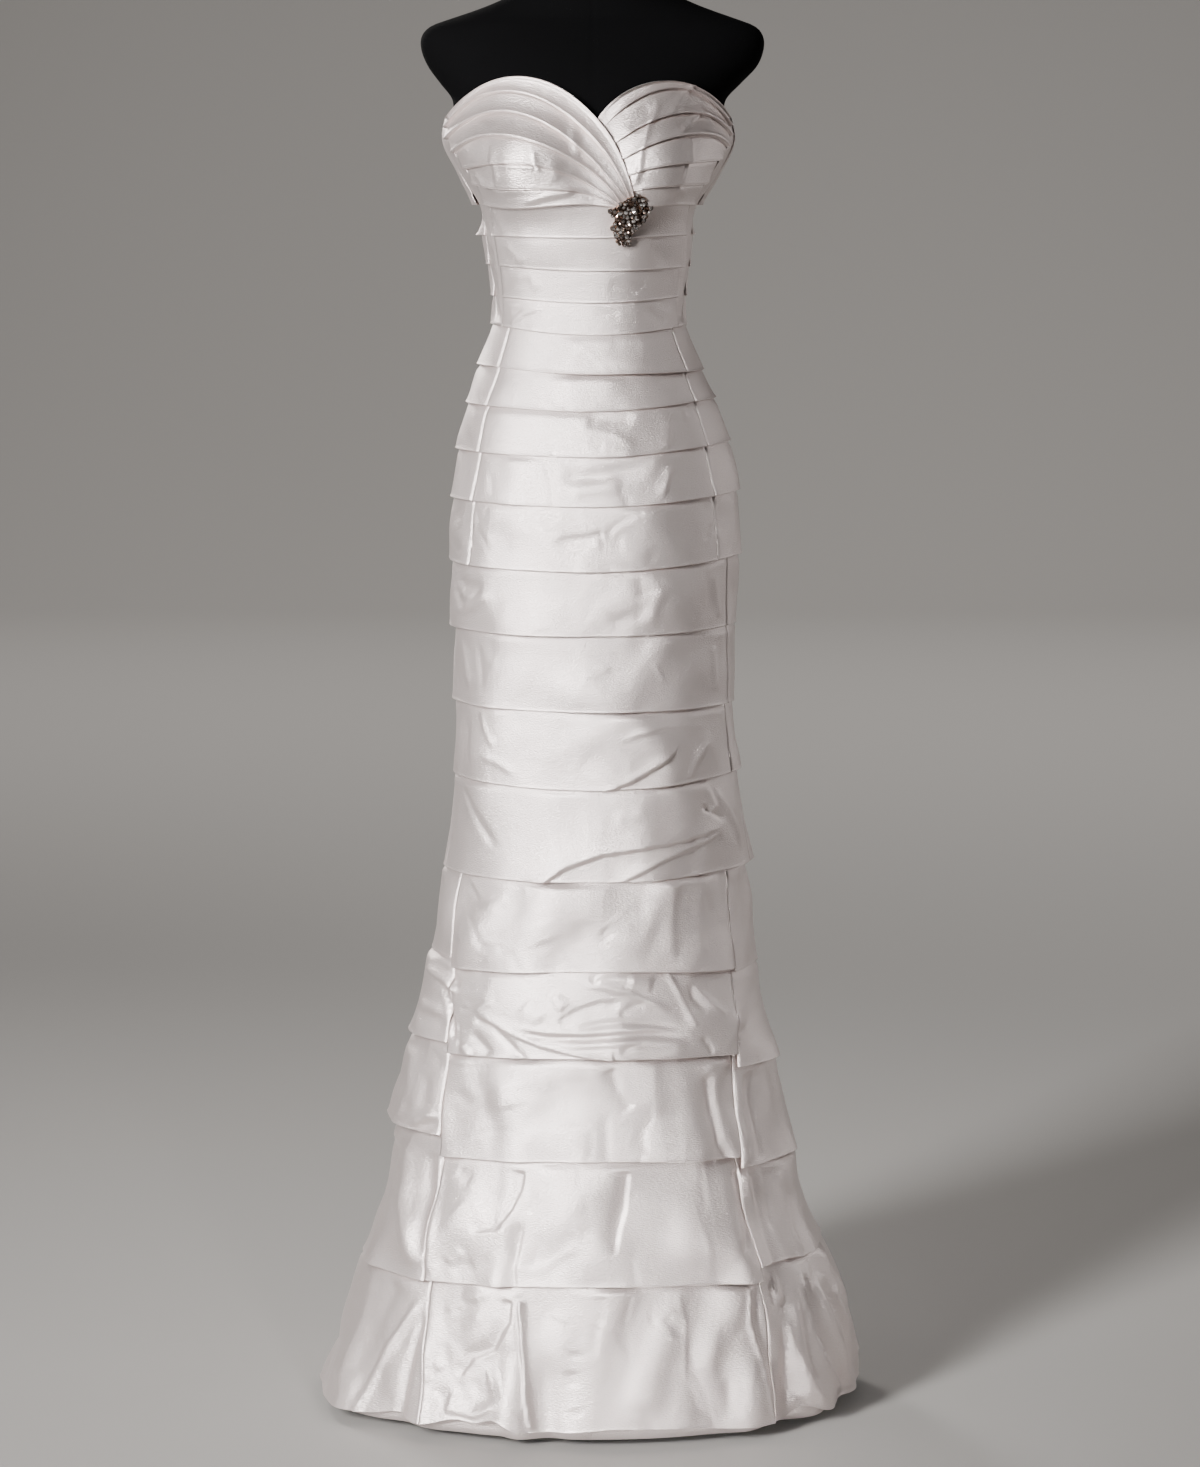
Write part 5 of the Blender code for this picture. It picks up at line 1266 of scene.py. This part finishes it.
def tier_piece(number, front, cell):
    """One piece of a band as a fine sheet with its creases, in place of its CAD node."""
    seam = seam_of(number)
    low_top, low_edge = seam.left_top, seam.left_edge
    high_top, high_edge = seam.right_top, seam.right_edge
    if not front:
        low_top, low_edge, high_top, high_edge = high_top, high_edge, low_top + 360, low_edge + 360
        if number <= SEAMS[0].last_tier:
            low_top = low_edge = SIDE_SEAM
            high_top = high_edge = 360 - SIDE_SEAM
    piece = "front" if front else "back"
    profile = tier_profile(number, piece)
    top_level, edge_level = float(profile[0][0][0]), float(edge_height(number, "front")[0])
    drop = float(np.max(profile[0][0] - profile[-1][0]))
    rows = max(LEAST_ROWS, round(drop / cell))
    shares = np.linspace(0, 1, rows + 1)
    shares = np.unique(np.concatenate([shares[:-1], 1 - np.array(EDGE_ROWS) / drop]))
    gap = SEAM_GAP if low_top == low_edge else LEAN_GAP

    def seam_line(top_angle, edge_angle):
        angle = np.full(len(shares), float(edge_angle))
        for _ in range(SEAM_PASSES):
            top, edge = read(profile[0][0], angle), read(profile[-1][0], angle)
            rise = top + (edge - top) * shares - edge_level
            angle = edge_angle + (top_angle - edge_angle) * rise / (top_level - edge_level)
        return angle

    clear = math.degrees(gap / 2 / SEAM_RADIUS)
    low, high = seam_line(low_top, low_edge) + clear, seam_line(high_top, high_edge) - clear
    reach = float(read(profile[-1][1], low_edge))
    columns = max(LEAST_COLUMNS, round(math.radians(high_edge - low_edge) * reach / cell))
    turn = np.linspace(0, 1, columns + 1)[None, :]
    angle = low[:, None] + (high - low)[:, None] * turn
    share = shares[:, None] + 0 * angle
    top, edge = read(profile[0][0], angle), read(profile[-1][0], angle)
    height = top + (edge - top) * share
    start, end = read(profile[0][1], angle), read(profile[-1][1], angle)
    radius = start + (end - start) * share
    if len(profile) == 3:
        bend_level, bend = read(profile[1][0], angle), read(profile[1][1], angle)
        place = np.clip((top - bend_level) / (top - edge), *BEND_LIMITS)
        sag = (bend - (start + (end - start) * place)) / (place * (1 - place))
        radius = radius + sag * share * (1 - share)

    across = radius * np.sin(np.radians(angle))
    facing = np.maximum(np.abs(np.cos(np.radians(angle))), LEAST_FACING)
    seen = crease_push(CREASES[number], across, height, facing)
    back = crease_push(CREASES[number], -across, height, facing) * BACK_CREASE
    behind = smoothstep((np.abs(turned(angle)) - BACK_FROM) / BACK_SPAN)
    push = seen * (1 - behind) + back * behind
    tucks = [tuck for tuck in TUCKS if tuck.tier == number]
    push = push + tuck_push(tucks, across, height, facing) * (1 - behind)
    rumple = next(rumple for rumple in RUMPLES if number <= rumple.last_tier)
    push = push + rumple_push(number, rumple, placed(angle, radius, height))
    uncovered = smoothstep(
        (read(edge_height(number - 1), angle) + COVER_REACH - height) / CREASE_START)
    push = push * uncovered
    push = push + EDGE_ROLL * np.exp(-((height - edge) / EDGE_ROLL_HEIGHT) ** 2)
    inward = np.minimum(angle - low[:, None], high[:, None] - angle) * math.pi / 180 * radius
    seam_roll = np.exp(-(inward / SEAM_ROLL_WIDTH) ** 2)
    push = push + (FRONT_SEAM_LIFT if front else BACK_SEAM_SINK) * seam_roll * uncovered

    room = radius - body_radius(angle, height) + BAND_DENT
    if number < HEM_TIER:
        below = profile_at(number + 1, angle)
        over = radius - CLOTH - between(below, height) - LEAST_GAP
        room = np.where(height < below[0][0] + STITCH_REACH, np.minimum(room, over), room)
    push = np.maximum(push, -np.maximum(room, 0.0))
    radius = radius + push
    if not front and number <= SEAMS[0].last_tier:
        flat = body_radius(angle, height) + PANEL_STAND
        over = between(below, np.minimum(height, below[0][0])) + CLOTH + LAYER_GAP
        rise = smoothstep((below[0][0] + END_RISE - height) / END_RISE)
        flat = np.minimum(flat + np.maximum(over - flat, 0) * rise, radius)
        radius = flat + (radius - flat) * smoothstep(inward / END_SLOPE)
    cloth_piece(f"band_{number:02d}_{piece}", angle, radius, height, BAND_GIRTH)


for tier in TIERS:
    tier_piece(tier.number, True, CELL)
    tier_piece(tier.number, False, GORE_CELL if tier.number >= FIRST_GORED_TIER else BACK_CELL)

# ---------------------------------------------------------------- cups
# Each cup is one length of satin laid in five pleats over the bust and drawn in to the brooch, the
# folded edges facing down. The cup on the left wraps over the other one.
Pleat = namedtuple("Pleat", "side_height run rise end_run end_rise end_x end_height")
LEFT_CUP = (
    Pleat(1.3950, 0.073, 0.093, 0.0185, -0.0910, 0.0388, 1.3195),
    Pleat(1.3850, 0.062, 0.088, 0.0231, -0.0704, 0.0346, 1.3153),
    Pleat(1.3730, 0.065, 0.069, 0.0388, -0.0568, 0.0300, 1.3126),
    Pleat(1.3583, 0.038, 0.046, 0.0247, -0.0435, 0.0241, 1.3103),
    Pleat(1.3415, 0.055, 0.013, 0.0444, -0.0382, 0.0210, 1.3076),
    Pleat(1.3258, 0.051, -0.016, 0.0481, -0.0287, 0.0174, 1.3050),
    Pleat(1.3030, 0.042, -0.010, 0.0417, -0.0072, 0.0140, 1.3022),
)
RIGHT_CUP = (
    Pleat(1.3950, -0.035, 0.055, -0.0300, -0.0470, 0.0050, 1.3930),
    Pleat(1.3866, -0.037, 0.066, -0.0280, -0.0440, 0.0090, 1.3800),
    Pleat(1.3770, -0.030, 0.048, -0.0254, -0.0300, 0.0140, 1.3585),
    Pleat(1.3650, -0.017, 0.033, -0.0138, -0.0200, 0.0200, 1.3420),
    Pleat(1.3510, -0.035, -0.004, -0.0309, -0.0173, 0.0240, 1.3290),
    Pleat(1.3258, -0.031, -0.003, -0.0297, -0.0107, 0.0285, 1.3147),
    Pleat(1.3030, -0.028, 0.001, -0.0275, 0.0009, 0.0310, 1.3022),
)
PLEAT_HEIGHT = 0.0038
PLEAT_COLUMNS = 120
PLEAT_RUN_ON = 1.07
# Down one strip of a pleat: the place on the way to the next fold, and how far the cloth is raised.
STRIP = (
    (0.0, 0.80), (0.010, 1.0), (0.024, 0.95), (0.034, 0.40), (0.046, -0.30), (0.070, -0.34),
    (0.10, -0.22), (0.15, -0.06), (0.22, 0.0), (0.32, 0.08), (0.44, 0.18), (0.56, 0.30),
    (0.68, 0.45), (0.79, 0.62), (0.88, 0.80), (0.93, 0.95), (0.97, 1.02),
)
TOP_ROLL = (0.04, 0.2)
TOP_ROLL_RISE = 0.45
FOOT_RISE = 0.9
PLEAT_FADE_FROM = 0.75
PLEAT_FADE_SPAN = 0.20
WRAP_PLEAT_LEFT = 0.4
CUP_LIFT = 0.0032
CUP_LIFT_FADE = 0.040
WRAP_STAND = 0.0024
WRAP_FADE = 0.030
WRAP_TOP = (0.0050, 1.3930)
WRAP_FOOT = (0.0310, 1.3022)
WRAP_MARGIN = 0.004
CUP_SEAM_TOP = 80
CUP_SEAM_FOOT = 66
TOP_AT_SIDE = 1.395
ANGLE_HALVINGS = 26
CUP_FACING = 0.4
CUP_DENT = 0.0004
CUP_SEED = 40
CUP_SLANT = 0.2
BODICE_GIRTH = 0.12
CUP_CREASES = {
    "left": crease_lines(
        (((-124, 1343), (-97, 1344), (-56, 1341)), 3, 1.2, 0.4, 0.1, 0.1),
        (((-61, 1360), (-56, 1340)), 3, 1.2, 0.5, 0.3, 0),
        (((-104, 1368), (-102, 1344), (-94, 1318)), 4.5, 1.6, 0.5),
        (((-124, 1338), (-111, 1325), (-95, 1316)), 4.5, 1.8, 0.6),
        (((-70, 1304), (-43, 1312), (-14, 1318)), 4.5, 2.2, 0.5, 0.2, 0.2),
        (((-90, 1312), (-60, 1316)), 5, -1.2),
        (((-15, 1392), (-21, 1380), (-14, 1350)), 6, 1.4, 0.6),
        (((-117, 1392), (-100, 1380)), 5.5, 1),
        (((-132, 1362), (-118, 1372)), 4.5, -1.2),
        (((-40, 1352), (-36, 1328)), 6, 0.9),
    ),
    "right": crease_lines(
        (((68, 1412), (59, 1394), (50, 1366), (45, 1338), (40, 1320)), 4.5, 1.8, 0.5, 0.1, 0.1),
        (((57, 1408), (38, 1380)), 5, -1.6, 0.6),
        (((102, 1376), (100, 1350), (88, 1322)), 3.2, 1.6, 0.4),
        (((80, 1376), (91, 1380), (111, 1400), (124, 1392)), 3.5, 2, 0.5),
        (((76, 1396), (94, 1418), (102, 1426)), 4.5, 1.6, 0.6, 0.3, 0),
        (((92, 1400), (116, 1412)), 5, -1.4),
        (((86, 1384), (100, 1390)), 4, -1.4),
        (((118, 1398), (126, 1380)), 4, 1.2),
        (((84, 1322), (94, 1314)), 4.5, 1.2),
    ),
}


def cup_seam(height):
    """Angle of the seam beside a cup at a height."""
    share = smoothstep((height - CUP_EDGE) / (TOP_AT_SIDE - CUP_EDGE))
    return CUP_SEAM_FOOT + (CUP_SEAM_TOP - CUP_SEAM_FOOT) * share


def angle_at(across, height):
    """The direction in which the body is a given distance to the side of its axis."""
    low, high = 0.0 * height, cup_seam(height)
    for _ in range(ANGLE_HALVINGS):
        middle = (low + high) / 2
        reach = body_radius(np.copysign(middle, across), height) * np.sin(np.radians(middle))
        low = np.where(reach < np.abs(across), middle, low)
        high = np.where(reach < np.abs(across), high, middle)
    return np.copysign(low, across)


def wrap_stand(angle, height):
    """How far the left cup stands off to cross over the right one."""
    share = np.clip((WRAP_TOP[1] - height) / (WRAP_TOP[1] - WRAP_FOOT[1]), 0, 1)
    hidden_end = WRAP_TOP[0] + (WRAP_FOOT[0] - WRAP_TOP[0]) * share
    across = body_radius(angle, height) * np.sin(np.radians(angle))
    return WRAP_STAND * smoothstep((across - hidden_end + WRAP_MARGIN + WRAP_FADE) / WRAP_FADE)


def cup_piece(node, side, pleats, creases, wraps):
    """A pleated cup as one fine sheet, in place of its CAD node."""
    table = np.array(pleats)
    values, raised = [], []
    for index in range(len(pleats) - 1):
        for share, up in STRIP:
            values.append(table[index] * (1 - share) + table[index + 1] * share)
            rolled = index == 0 and TOP_ROLL[0] < share < TOP_ROLL[1]
            raised.append(max(up, TOP_ROLL_RISE) if rolled else up)
    values.append(table[-1])
    raised.append(FOOT_RISE)
    values, raised = np.array(values), np.array(raised)[:, None]
    side_height, run, rise, end_run, end_rise, end_x, end_height = values.T[..., None]
    seam_angle = side * cup_seam(side_height)
    start_x = body_radius(seam_angle, side_height) * np.sin(np.radians(seam_angle))
    t = np.linspace(0, PLEAT_RUN_ON if wraps else 1.0, PLEAT_COLUMNS + 1)[None, :]
    weights = (1 - t) ** 3, 3 * (1 - t) ** 2 * t, 3 * (1 - t) * t ** 2, t ** 3
    xs = start_x, start_x + run, end_x - end_run, end_x
    zs = side_height, side_height + rise, end_height - end_rise, end_height
    across = sum(weight * x for weight, x in zip(weights, xs))
    height = sum(weight * z for weight, z in zip(weights, zs))
    angle = angle_at(across, height)
    angle[:, 0] = seam_angle[:, 0]
    stand = CUP_LIFT * (1 - smoothstep((height - CUP_EDGE) / CUP_LIFT_FADE))
    if wraps:
        stand = stand + wrap_stand(angle, height)
    flat = smoothstep((t - PLEAT_FADE_FROM) / PLEAT_FADE_SPAN)
    fade = 1 - flat * (1 - WRAP_PLEAT_LEFT if wraps else 1.0)
    radius = body_radius(angle, height) + stand
    first_band = profile_at(1, angle)
    under = np.where(height < first_band[0][0], between(first_band, height) + CLOTH + LAYER_GAP, 0)
    radius = np.maximum(radius, under)
    facing = np.maximum(np.cos(np.radians(angle)), CUP_FACING)
    push = crease_push(creases, across, height, facing)
    push = push + rumple_push(CUP_SEED + side, CUP_RUMPLE, placed(angle, radius, height))
    room = radius - np.maximum(under, body_radius(angle, height)) + CUP_DENT
    push = np.maximum(push, -room)
    cloth_piece(node, angle, radius + push, height, BODICE_GIRTH,
                raised=raised * fade * PLEAT_HEIGHT, slant=CUP_SLANT * across)


cup_piece("bodice_cup_left", -1, LEFT_CUP, CUP_CREASES["left"], wraps=True)
cup_piece("bodice_cup_right", 1, RIGHT_CUP, CUP_CREASES["right"], wraps=False)

# ---------------------------------------------------------------- side panels and upper back
# A plain strip of satin runs down each side of the bodice to the waist, and a plain piece closes
# the back above the bands. The strips are cut straight and buckle a little at the waist's curve.
PANEL_CREASES = crease_lines(
    (((-118, 1312), (-108, 1280), (-105, 1250)), 4, 1.2, 0.6),
    (((-104, 1262), (-101, 1236), (-99, 1214)), 3.5, 1.2, 0.6),
    (((-98, 1236), (-98, 1206), (-95, 1172)), 3.2, 1.4, 0.5, 0.2, 0),
    (((-128, 1335), (-121, 1318)), 3.5, -1),
    (((112, 1304), (104, 1262), (100, 1236)), 4, 1.2, 0.6),
    (((100, 1238), (97, 1206), (94, 1180)), 3.5, 1, 0.6, 0.2, 0),
)
PANEL_ROWS = 70
PANEL_COLUMNS = 14
PANEL_FACING = 0.42
PANEL_DENT = 0.0004
PANEL_TUCK = 0.020
PANEL_STITCH = 0.006
TOP_AT_BACK = 1.345
BACK_ROWS = 30
BACK_POINTS = 130
BACK_CLEAR = 0.12
BACK_LIFT = 0.0060
BACK_STITCH = 0.004
BACK_DENT = 0.0003
BACK_SEED = 50


def side_panel(node, side):
    """The plain strip between a cup with the bands below it and the back."""
    last = SEAMS[0].last_tier
    foot = read(edge_height(last, "front"), side * SIDE_SEAM)
    level = (TOP_AT_SIDE + (foot - TOP_AT_SIDE) * np.linspace(0, 1, PANEL_ROWS + 1))[:, None]
    clear = np.degrees(SEAM_GAP / body_radius(side * SIDE_SEAM, level))
    near, far = cup_seam(level) + clear, SIDE_SEAM + 0 * level
    angle = side * (near + (far - near) * np.linspace(0, 1, PANEL_COLUMNS + 1)[None, :])
    edge = read(edge_height(last, "front"), angle)
    height = TOP_AT_SIDE + (edge - TOP_AT_SIDE) * np.linspace(0, 1, PANEL_ROWS + 1)[:, None]
    radius = body_radius(angle, height) + PANEL_STAND
    below = profile_at(last + 1, angle)
    over = between(below, height) + CLOTH + 2 * LAYER_GAP
    share = smoothstep((edge + PANEL_TUCK - height) / PANEL_TUCK)
    raised = np.maximum(radius, over * share + radius * (1 - share))
    radius = np.where(height < below[0][0] + PANEL_STITCH, raised, radius)
    across = radius * np.sin(np.radians(angle))
    push = crease_push(PANEL_CREASES, across, height, PANEL_FACING)
    push = np.maximum(push, -PANEL_DENT)
    inner = placed(angle, radius + push, height)
    outer = placed(angle, radius + push + CLOTH, height)
    if side < 0:
        inner, outer = inner[:, ::-1], outer[:, ::-1]
        angle = angle[:, ::-1]
    uv = np.stack([np.radians(angle) * BODICE_GIRTH, height], axis=-1)
    hang(cloth_object(node + "_satin", outer, inner, uv), outer, node)


side_panel("side_panel_left", -1)
side_panel("side_panel_right", 1)

angle = np.linspace(SIDE_SEAM + BACK_CLEAR, 360 - SIDE_SEAM - BACK_CLEAR, BACK_POINTS)[None, :]
middle = smoothstep((np.abs(turned(angle)) - SIDE_SEAM) / (180 - SIDE_SEAM))
top = TOP_AT_SIDE + (TOP_AT_BACK - TOP_AT_SIDE) * middle
share = np.linspace(0, 1, BACK_ROWS + 1)[:, None]
height = top + (CUP_EDGE - top) * share
angle = angle + 0 * height
radius = body_radius(angle, height) + BACK_LIFT * share ** 2 * seam_hold(angle) + PANEL_STAND
first_band = profile_at(1, angle)
over = between(first_band, height) + CLOTH + 2 * LAYER_GAP
radius = np.where(height < first_band[0][0] + BACK_STITCH, np.maximum(radius, over), radius)
push = np.maximum(rumple_push(BACK_SEED, CUP_RUMPLE, placed(angle, radius, height)), -BACK_DENT)
cloth_piece("back_bodice", angle, radius + push, height, BODICE_GIRTH)

# ---------------------------------------------------------------- brooch
# A drop-shaped cluster of cut glass stones, each in its own small cup, soldered to a plate of
# champagne-coloured metal and pinned through the cloth where the cups cross.
BROOCH_CENTRE = (0.0350, 1.3005)
BROOCH_OUTLINE = (
    (0.0056, 0.0203), (-0.0061, 0.0125), (-0.0240, -0.0010), (-0.0150, -0.0083), (-0.0159, -0.0205),
    (-0.0088, -0.0274), (-0.0088, -0.0361), (0.0046, -0.0361), (0.0110, -0.0222), (0.0163, -0.0118),
    (0.0226, -0.0014), (0.0221, 0.0065), (0.0154, 0.0099), (0.0091, 0.0177),
)
BROOCH_FOOT = 0.024
BROOCH_HEAD = 0.014
BROOCH_SIZE = 0.038
BROOCH_PLATE = 0.0016
STONE_PITCH = 0.0052
STONE_JITTER = 0.0009
STONE_RADII = (0.0016, 0.0031)
ROW_PITCH = 0.88
STONE_SEAT = 0.6
STONE_LEAN = 0.35
STONE_TURN = 0.8
CLUSTER_REACH = 1.04
CLUSTER_DOME = 0.0030
DOME_SPREAD = (0.6, 1.0)
BROOCH_SEED = 7
PLATE_SIDES = 40
PLATE_REACH = 0.93
# The stone and its cup are modelled for a radius of 1 and set smaller.
STONE_SIDES = 8
TABLE_RADIUS = 0.52
CROWN_HEIGHT = 0.42
PAVILION_DEPTH = 0.35
PAVILION_FOOT = 0.45
CUP_SIDES = 10
CUP_RADIUS = 1.16
CUP_HEIGHT = 0.8
CUP_CENTRE = -0.32
CUP_RIM = 0.10
CUP_HOLLOW = 0.12
FLAT_FACE = 0.9
TONE_ENDS = (0.25, 0.75)

angle = float(angle_at(np.array(BROOCH_CENTRE[0]), np.array(BROOCH_CENTRE[1])))
low = float(body_radius(angle, BROOCH_CENTRE[1] - BROOCH_FOOT))
high = float(body_radius(angle, BROOCH_CENTRE[1] + BROOCH_HEAD))
turn = math.radians(angle)
outward = Vector((math.sin(turn), -math.cos(turn), 0))
rising = (Vector((0, 0, BROOCH_FOOT + BROOCH_HEAD)) + outward * (high - low)).normalized()
sideways = Vector((math.cos(turn), math.sin(turn), 0))
normal = sideways.cross(rising)
middle = Vector(placed(angle, body_radius(angle, BROOCH_CENTRE[1]), BROOCH_CENTRE[1]).tolist())
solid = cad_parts["brooch"].data
plate_back = min((vertex.co - middle).dot(normal) for vertex in solid.vertices)
plane = Matrix((sideways, rising, normal)).transposed().to_4x4()
plane.translation = middle + normal * plate_back


def brooch_reach(direction):
    """Distance from the cluster's middle to its outline, in one direction."""
    x, y = math.cos(direction), math.sin(direction)
    for (ax, ay), (bx, by) in zip(BROOCH_OUTLINE, BROOCH_OUTLINE[1:] + BROOCH_OUTLINE[:1]):
        before, after = x * ay - y * ax, x * by - y * bx
        if before <= 0 < after:
            share = before / (before - after)
            return math.hypot(ax + (bx - ax) * share, ay + (by - ay) * share)
    return 0.0


def cut_stone():
    """A round stone with a flat table, eight crown facets and a short pavilion, of radius 1."""
    bpy.ops.object.select_all(action="DESELECT")
    bpy.ops.mesh.primitive_cone_add(vertices=STONE_SIDES, radius1=1.0, radius2=TABLE_RADIUS,
                                    depth=CROWN_HEIGHT, location=(0, 0, CROWN_HEIGHT / 2))
    stone = bpy.context.object
    bpy.ops.object.transform_apply(location=True, rotation=True, scale=True)
    pick(stone, "FACE", lambda face: face.normal.z < -FLAT_FACE)
    bpy.ops.mesh.extrude_region_move(TRANSFORM_OT_translate={"value": (0, 0, -PAVILION_DEPTH)})
    bpy.ops.transform.resize(
        value=(PAVILION_FOOT, PAVILION_FOOT, 1), center_override=(0, 0, -PAVILION_DEPTH))
    bpy.ops.object.mode_set(mode="OBJECT")
    return stone


def stone_cup():
    """The metal cup of a stone of radius 1, open at the top, with a flat rim."""
    bpy.ops.object.select_all(action="DESELECT")
    bpy.ops.mesh.primitive_cylinder_add(
        vertices=CUP_SIDES, radius=CUP_RADIUS, depth=CUP_HEIGHT, location=(0, 0, CUP_CENTRE))
    cup = bpy.context.object
    bpy.ops.object.transform_apply(location=True, rotation=True, scale=True)
    pick(cup, "FACE", lambda face: face.normal.z > FLAT_FACE)
    bpy.ops.mesh.inset(thickness=CUP_RIM, depth=0)
    bpy.ops.mesh.extrude_region_move(TRANSFORM_OT_translate={"value": (0, 0, -CUP_HOLLOW)})
    bpy.ops.object.mode_set(mode="OBJECT")
    return cup


def cluster(name, model, places, material):
    """Copies of one model at many places, joined into one object in the brooch's plane."""
    copies = []
    for place in places:
        copies.append(new_object(name, model.data.copy()))
        copies[-1].data.transform(plane @ place)
    bpy.data.objects.remove(model, do_unlink=True)
    bpy.ops.object.select_all(action="DESELECT")
    for copy in copies:
        copy.select_set(True)
    bpy.context.view_layer.objects.active = copies[0]
    bpy.ops.object.join()
    joined = bpy.context.object
    joined.name = name
    joined.data.materials.clear()
    joined.data.materials.append(material)
    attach(joined, "root")
    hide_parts("brooch")


def jewel_finish(name, dark, light, scale, metallic, roughness):
    """A bright finish whose tone jumps from stone to stone: on the glass, painted glints and
    painted shade.
    """
    material, nodes, links, shader = new_material(name)
    shader.inputs["Metallic"].default_value = metallic
    shader.inputs["Roughness"].default_value = roughness
    place = nodes.new("ShaderNodeTexCoord")
    patches = nodes.new("ShaderNodeTexVoronoi")
    patches.inputs["Scale"].default_value = scale
    links.new(place.outputs["Object"], patches.inputs["Vector"])
    tone = nodes.new("ShaderNodeValToRGB")
    for stop, place_on_ramp, colour in zip(tone.color_ramp.elements, TONE_ENDS, (dark, light)):
        stop.position = place_on_ramp
        stop.color = (*colour, 1)
    links.new(patches.outputs["Color"], tone.inputs["Fac"])
    links.new(tone.outputs["Color"], shader.inputs["Base Color"])
    return material


chance = random.Random(BROOCH_SEED)
stones = []
rows = int(BROOCH_SIZE / STONE_PITCH) + 2
for row in range(-rows, rows + 1):
    for column in range(-rows, rows + 1):
        x = (column + 0.5 * (row % 2)) * STONE_PITCH + chance.uniform(-STONE_JITTER, STONE_JITTER)
        y = row * STONE_PITCH * ROW_PITCH + chance.uniform(-STONE_JITTER, STONE_JITTER)
        inside = math.hypot(x, y) / brooch_reach(math.atan2(y, x))
        if inside > CLUSTER_REACH:
            continue
        size = chance.uniform(*STONE_RADII)
        dome = CLUSTER_DOME * (1 - inside ** 2) * chance.uniform(*DOME_SPREAD)
        lift = BROOCH_PLATE + size * STONE_SEAT + dome
        lean = Matrix.Identity(4)
        for axis in "XY":
            lean = lean @ Matrix.Rotation(chance.uniform(-STONE_LEAN, STONE_LEAN), 4, axis)
        lean = lean @ Matrix.Rotation(chance.uniform(0, STONE_TURN), 4, "Z")
        stones.append(Matrix.Translation((x, y, lift)) @ lean @ Matrix.Scale(size, 4))

# The glass stones are painted from dark brown to near white: the pale ones are painted glints, the
# dark ones painted shade.
glass_with_painted_glints = jewel_finish("cut_glass_painted_glints", dark=(0.16, 0.10, 0.075), light=(1.0, 0.97, 0.95),
                       scale=190, metallic=0.9, roughness=0.05)
champagne = jewel_finish("champagne_metal", dark=(0.10, 0.060, 0.042), light=(0.46, 0.34, 0.27),
                         scale=420, metallic=1.0, roughness=0.24)
cluster("brooch_stones", cut_stone(), stones, glass_with_painted_glints)
cluster("brooch_cups", stone_cup(), stones, champagne)

bpy.ops.object.select_all(action="DESELECT")
bpy.ops.mesh.primitive_circle_add(vertices=PLATE_SIDES, radius=1.0, fill_type="NGON")
plate = bpy.context.object
plate.name = "brooch_plate"
for vertex in plate.data.vertices:
    direction = math.atan2(vertex.co.y, vertex.co.x)
    rim = Vector((math.cos(direction), math.sin(direction), 0))
    vertex.co = rim * brooch_reach(direction) * PLATE_REACH
bpy.ops.object.mode_set(mode="EDIT")
bpy.ops.mesh.select_all(action="SELECT")
bpy.ops.mesh.extrude_region_move(TRANSFORM_OT_translate={"value": (0, 0, BROOCH_PLATE)})
bpy.ops.mesh.select_all(action="SELECT")
bpy.ops.mesh.normals_make_consistent(inside=False)
bpy.ops.object.mode_set(mode="OBJECT")
plate.data.transform(plane)
plate.data.materials.append(champagne)
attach(plate, "root")
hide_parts("brooch")
